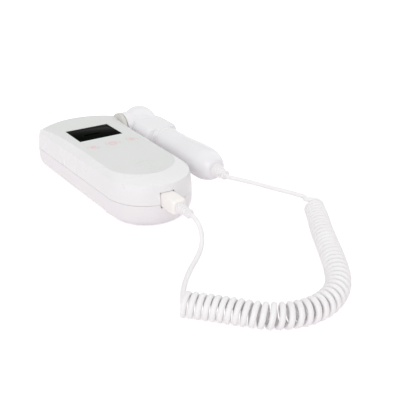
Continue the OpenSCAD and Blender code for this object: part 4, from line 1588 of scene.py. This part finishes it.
@dataclass(frozen=True)
class HandProbe:
    """The hand probe, built in its own frame: the ball's centre at zero, axis along Y."""

    place: Point = (54.3, 55.0, 28.0)
    tilt: float = 2.0
    head_r: float = 15.8
    head_l: float = 45.0
    nose_l: float = 7.0
    nose_r: float = 8.1
    nose_edge: float = 0.3
    flat_h: float = 9.1
    flat_ease: float = 1.4
    flat_round: float = 0.7
    ball_ease: float = 0.35
    ball_reach: float = 1.5
    neck_w: float = 4.0
    collar_r: float = 10.4
    collar_l: float = 3.8
    collar_step: float = 0.2
    seal_r: float = 9.9
    waist: float = 1.9
    waist_y: float = -10.0
    waist_l: float = 5.0
    waist_from: float = -27.0
    handle_r: float = 11.3
    belly_r: float = 13.0
    handle_l: float = 70.0
    handle_end_l: float = 15.0
    relief_r: float = 6.2
    relief_end_r: float = 3.6
    relief_l: float = 12.0
    housing_r: float = 12.4
    housing_x: float = -17.3
    housing_edge: float = 0.8
    housing_in: float = -6.0
    face_r: float = 10.4
    face_play: float = 0.12
    face_bore: tuple[float, float] = (-24.0, 14.0)
    face_tip: float = -19.6
    face_back: float = -11.6
    groove_h: float = 0.12
    spigot_r: float = 7.4
    spigot_y: float = -38.0
    seal_in: float = 7.55

    def frame(self) -> Matrix:
        """The probe's frame in the case's, in millimetres."""
        return Matrix.Translation(self.place) @ Matrix.Rotation(math.radians(self.tilt), 4, "X")

    def cord_entry(self) -> tuple[np.ndarray, np.ndarray]:
        """Where the cord enters the relief.

        Returns:
            The point and the direction into the relief.
        """
        y = -self.head_l - self.neck_w - self.handle_l - self.relief_l
        frame = self.frame()
        way = frame.to_3x3() @ Vector((0, 1, 0))
        return np.array(frame @ Vector((0, y, 0))), np.array(way)

    def head_outline(self) -> list[tuple[float, float]]:
        """Outline of the head before its flat: blunt end, collar, roll, barrel and ball.

        Returns:
            (radius, place along the axis), closest together where the flat meets the ball.
        """
        base, edge, collar = -self.head_l, self.nose_edge, self.collar_r
        nose = base + self.nose_l
        roll = self.nose_l - self.collar_l
        foot = collar + self.collar_step
        outline = [(self.nose_r, base + edge), (collar - edge, base)]
        outline += [(collar, base + edge), (collar, nose - roll - edge)]
        outline += [
            (foot + (self.head_r - foot) * math.sin(a), nose - roll * math.cos(a))
            for a in np.radians(np.arange(0, 91, 4.5))
        ]
        outline += [(self.head_r, y) for y in (-34, -30, -27, *np.arange(-25, -13.5, 0.8))]
        outline += [(self.head_r, y) for y in np.arange(-13.2, -0.1, 0.22)]
        quarter = np.radians(np.arange(0, 90, 3))
        outline += [(self.head_r * math.cos(a), self.head_r * math.sin(a)) for a in quarter]
        return outline

    def head_section(self, r: float, y: float, steps: int = 180) -> Ring:
        """Ring of the head: the outline's circle, cut by the flat and kept outside the ball.

        Args:
            r: radius of the outline.
            y: its place along the axis.
            steps: points in the ring.

        Returns:
            The ring, with soft edges where flat, barrel and ball meet.
        """
        clear = 99.0
        angles = np.arange(steps) * 2 * math.pi / steps
        lift = np.cos(angles)
        flat = np.where(lift > 0.2, self.flat_h / np.maximum(lift, 0.2), clear)
        reach = flat if y < 0 else clear
        if self.waist_from < y < 0:
            r -= self.waist * math.exp(-(((y - self.waist_y) / self.waist_l) ** 2))
        off_axis = r > 1
        share = np.clip(0.5 + (reach - r) / self.flat_ease, 0, 1)
        radius = reach * (1 - share) + r * share - self.flat_round * share * (1 - share) * off_axis
        ball = math.sqrt(max(0.0, self.head_r**2 - y * y))
        soft = self.ball_ease * np.clip((r - radius) / self.ball_reach, 0.02, 1)
        share = np.clip(0.5 + 0.5 * (ball - radius) / soft, 0, 1)
        radius = radius * (1 - share) + ball * share + soft * share * (1 - share) * off_axis * (share > 0)
        return np.column_stack([radius * np.sin(angles), np.full(steps, y), radius * np.cos(angles)])

    def head(self) -> bpy.types.Object:
        """Barrel with collar, flat and waist that ends in a ball, and the transducer's round housing.

        Returns:
            The head's shell.
        """
        middle = 1e-3
        points = [(middle, -self.head_l + self.nose_edge), *self.head_outline(), (middle, self.head_r)]
        head = new_object("probe_head_shell", loft([self.head_section(r, y) for r, y in points]))
        r, x, edge, inner = self.housing_r, self.housing_x, self.housing_edge, self.housing_in
        rim = [
            (r - edge + edge * math.sin(a), x + edge - edge * math.cos(a))
            for a in np.radians(range(0, 91, 15))
        ]
        combine(head, [turned([(0, x), *rim, (r, inner), (0, inner)], Turn.X, 128)], Role.ADD)
        start, length = self.face_bore
        combine(head, [rod_x((start, 0, 0), self.face_r + self.face_play, length)], Role.CUT)
        return head

    def handle_radius(self, s: float) -> float:
        """Radius of the handle.

        Args:
            s: distance from its neck end.

        Returns:
            The radius there.
        """
        swell_from, swell_l = 20, 28
        end_s = self.handle_l - self.handle_end_l
        t = max(0.0, min(1.0, (s - swell_from) / swell_l))
        if s <= end_s:
            return self.handle_r + (self.belly_r - self.handle_r) * t * t * (3 - 2 * t)
        e = min(1.0, (s - end_s) / self.handle_end_l)
        return self.relief_r + (self.belly_r - self.relief_r) * max(0.0, 1 - e**1.7) ** (1 / 1.7)

    def handle(self) -> bpy.types.Object:
        """Bottle-shaped handle with its spigot into the head.

        Returns:
            The handle.
        """
        neck = -self.head_l - self.neck_w
        end_s = self.handle_l - self.handle_end_l
        ease = np.sin(np.linspace(0, math.pi / 2, 26))
        stations = [*np.arange(1.6, 20, 1.5), *np.arange(20, end_s, 1.2), *(end_s + self.handle_end_l * ease)]
        profile = [(0.0, neck - self.handle_l)]
        profile += [(self.handle_radius(s), neck - s) for s in stations[::-1]]
        rim = 1.1
        profile += [
            (self.handle_r - rim + rim * math.cos(a), neck - rim + rim * math.sin(a))
            for a in np.radians([0, 20, 40, 60, 80, 90])
        ]
        profile += [(self.spigot_r, neck), (self.spigot_r, self.spigot_y), (0.0, self.spigot_y)]
        return new_object("probe_handle_shell", turned(profile, Turn.Y, 128))

    def ring(self) -> bpy.types.Object:
        """Sealing ring in the neck, slightly hollow.

        Returns:
            The ring.
        """
        hollow, fill = 0.25, 0.98
        neck = -self.head_l - self.neck_w
        mid = neck + self.neck_w / 2
        arc = [
            (self.seal_r - hollow * math.cos(t), mid + 2 * t / math.pi * self.neck_w / 2 * fill)
            for t in np.linspace(-math.pi / 2, math.pi / 2, 11)
        ]
        profile = [(self.seal_in, neck), *arc, (self.seal_in, -self.head_l)]
        return new_object("neck_seal", turned(profile, Turn.Y, 128))

    def face(self) -> bpy.types.Object:
        """Round transducer face with an eased edge and a shallow ring.

        Returns:
            The face.
        """
        r, tip, back = self.face_r, self.face_tip, self.face_back
        floor = tip + self.groove_h
        groove = [(r - 2.6, tip), (r - 2.5, floor), (r - 2.1, floor), (r - 2.0, tip)]
        edge = [(r - 1 + math.sin(a), tip + 1 - math.cos(a)) for a in np.radians(np.arange(0, 91, 11.25))]
        profile = [(0, tip), *groove, *edge, (r, back), (0, back)]
        return new_object("face_disc", turned(profile, Turn.X, 128))

    def build(self, placing: Placing) -> None:
        """Build and dress the probe.

        Args:
            placing: how pieces are placed.
        """
        neck = -self.head_l - self.neck_w
        relief = new_object(
            "probe_relief",
            ribbed_sleeve(self.relief_l, self.relief_end_r, self.relief_r).moved(
                Matrix.Translation((0, neck - self.handle_l - self.relief_l, 0))
            ),
        )
        for thing, finish, slot, node, angle in (
            (self.head(), PROBE_ABS, "shell_white", "probe_head", 33),
            (self.handle(), PROBE_ABS, "shell_white", "probe_handle", 40),
            (self.ring(), RING_SILICONE, "ring_grey", "neck_ring", 40),
            (self.face(), FACE_EPOXY, "cup_cream", "transducer_face", 40),
            (relief, CORD_PU, "cord_white", "probe_strain_relief", 50),
        ):
            move = self.frame()
            move.translation *= MM
            thing.data.transform(move)
            placing.put(thing, finish, "probe", (node,), angle)


# ---------------------------------------------------------------- inner pieces


@dataclass
class Inside:
    """CAD nodes that stay: the finish of each."""

    finishes: dict[str, Finish] = field(
        default_factory=lambda: {
            "display_module": BLACK_NYLON,
            "key_switches": BLACK_NYLON,
            "main_board": BOARD_LAMINATE,
            "probe_board": BOARD_LAMINATE,
            "board_screws": ZINC_STEEL,
            "speaker_frame": ZINC_STEEL,
            "speaker_cone": CONE_PAPER,
            "battery_cells": CELL_SLEEVE,
            "battery_contacts": ZINC_STEEL,
            "probe_jack": BLACK_NYLON,
            "plug_contacts": GOLD_PLATE,
            "transducer_crystals": PIEZO_CERAMIC,
        }
    )

    def build(self, placing: Placing, nodes: dict[str, bpy.types.Object]) -> None:
        """Dress the nodes.

        Args:
            placing: how pieces are placed.
            nodes: the frame's objects by name.
        """
        for name, finish in self.finishes.items():
            placing.keep(nodes[name], finish)


# ---------------------------------------------------------------- studio


@dataclass(frozen=True)
class Lamp:
    """Soft square lamp that points at the object."""

    name: str
    place: Point
    size: float
    power: float
    colour: str = "#ffffff"


@dataclass
class Studio:
    """Pale floor, white surroundings, soft lamps and the camera of the photo."""

    camera_at: Point = (-195.20, -395.01, 201.13)
    azimuth: float = 35.3075
    elevation: float = 26.1501
    roll: float = 0.7276
    lens: float = 52.484
    aim: Point = (0.02, -0.04, 0.02)
    floor_half: float = 4.0
    floor_z: float = -0.0002
    floor_tone: str = "#f1ecef"
    floor_glow: float = 0.55
    world_light: float = 0.56
    lamps: tuple[Lamp, ...] = (
        Lamp("lamp_left", (-1.1, -0.9, 0.75), 1.2, 8.8),
        Lamp("lamp_front", (0.5, -1.5, 0.9), 1.0, 1.0),
        Lamp("lamp_top", (0.1, 0.3, 1.5), 1.4, 3.0),
        Lamp("lamp_right", (1.3, 0.1, 0.9), 1.2, 4.0),
    )

    def camera(self) -> None:
        """Camera at the photo's angle."""
        az, el, roll = (math.radians(v) for v in (self.azimuth, self.elevation, self.roll))
        ahead = Vector((math.sin(az) * math.cos(el), math.cos(az) * math.cos(el), -math.sin(el)))
        right = Vector((math.cos(az), -math.sin(az), 0))
        up = right.cross(ahead)
        across = right * math.cos(roll) + up * math.sin(roll)
        rise = up * math.cos(roll) - right * math.sin(roll)
        data = bpy.data.cameras.new("photo_camera")
        data.lens = self.lens
        data.sensor_width = 36.0
        data.clip_start = 0.01
        thing = bpy.data.objects.new("photo_camera", data)
        turn = Matrix((across, rise, -ahead)).transposed()
        thing.matrix_world = Matrix.Translation(Vector(self.camera_at) * MM) @ turn.to_4x4()
        bpy.context.scene.collection.objects.link(thing)
        bpy.context.scene.camera = thing

    @staticmethod
    def seen_white(tree: bpy.types.NodeTree) -> bpy.types.NodeSocket:
        """Tell rays that show the surroundings: straight, mirrored or through clear plastic.

        Args:
            tree: the nodes of the floor or the world.

        Returns:
            Socket that is 1 for such rays and 0 for others.
        """
        path = add_node(tree, "LightPath")
        first = add_node(
            tree, "Math",
            {0: path.outputs["Is Camera Ray"], 1: path.outputs["Is Glossy Ray"]}, operation="MAXIMUM",
        )
        both = add_node(
            tree, "Math", {0: first.outputs[0], 1: path.outputs["Is Transmission Ray"]}, operation="MAXIMUM"
        )
        return both.outputs[0]

    def floor(self) -> None:
        """Pale paper floor: it looks white where it is lit and keeps the object's shadow."""
        h = self.floor_half
        mesh = bpy.data.meshes.new("floor")
        mesh.from_pydata([(-h, -h, 0), (h, -h, 0), (h, h, 0), (-h, h, 0)], [], [(0, 1, 2, 3)])
        floor = bpy.data.objects.new("floor", mesh)
        floor.location.z = self.floor_z
        bpy.context.scene.collection.objects.link(floor)
        material = bpy.data.materials.new("paper_white_matt")
        material.use_nodes = True
        tree = material.node_tree
        tree.nodes.clear()
        paper = add_node(tree, "BsdfDiffuse", {"Color": linear(self.floor_tone)})
        shine = (self.floor_glow, self.floor_glow, self.floor_glow, 1.0)
        glow = add_node(tree, "Emission", {"Color": shine, "Strength": self.seen_white(tree)})
        lit = add_node(tree, "AddShader", {0: paper.outputs[0], 1: glow.outputs[0]})
        add_node(tree, "OutputMaterial", {"Surface": lit.outputs[0]})
        mesh.materials.append(material)

    def surroundings(self) -> None:
        """White all round to the eye, softer as a light."""
        world = bpy.data.worlds.new("white_room")
        world.use_nodes = True
        tree = world.node_tree
        tree.nodes.clear()
        strength = add_node(
            tree, "MapRange", {"Value": self.seen_white(tree), "To Min": self.world_light, "To Max": 1.0}
        )
        back = add_node(
            tree, "Background", {"Color": linear("#ffffff"), "Strength": strength.outputs["Result"]}
        )
        add_node(tree, "OutputWorld", {"Surface": back.outputs[0]})
        bpy.context.scene.world = world

    def light(self) -> None:
        """Soft lamps from the left, the front, the right and above."""
        for lamp in self.lamps:
            data = bpy.data.lights.new(lamp.name, "AREA")
            data.size = lamp.size
            data.energy = lamp.power
            data.color = linear(lamp.colour)[:3]
            thing = bpy.data.objects.new(lamp.name, data)
            thing.location = lamp.place
            way = Vector(self.aim) - Vector(lamp.place)
            thing.rotation_euler = way.to_track_quat("-Z", "Y").to_euler()
            bpy.context.scene.collection.objects.link(thing)

    def build(self) -> None:
        """Set up everything round the object."""
        self.floor()
        self.surroundings()
        self.light()
        bpy.context.scene.view_settings.view_transform = "Standard"


def main() -> None:
    """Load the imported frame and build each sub-assembly."""
    logging.basicConfig(level=logging.INFO, format="%(name)s %(message)s")
    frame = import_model()
    placing = Placing()
    studio = Studio()
    studio.camera()
    probe = HandProbe()
    CurlyCord().build(placing, *probe.cord_entry())
    case = Case()
    case.build(placing)
    FrontPanel(case).build(placing)
    CupAndPlug(case).build(placing)
    probe.build(placing)
    Inside().build(placing, frame["nodes"])
    studio.build()
    LOG.info("%d pieces placed", placing.count)


if __name__ == "__main__":
    main()
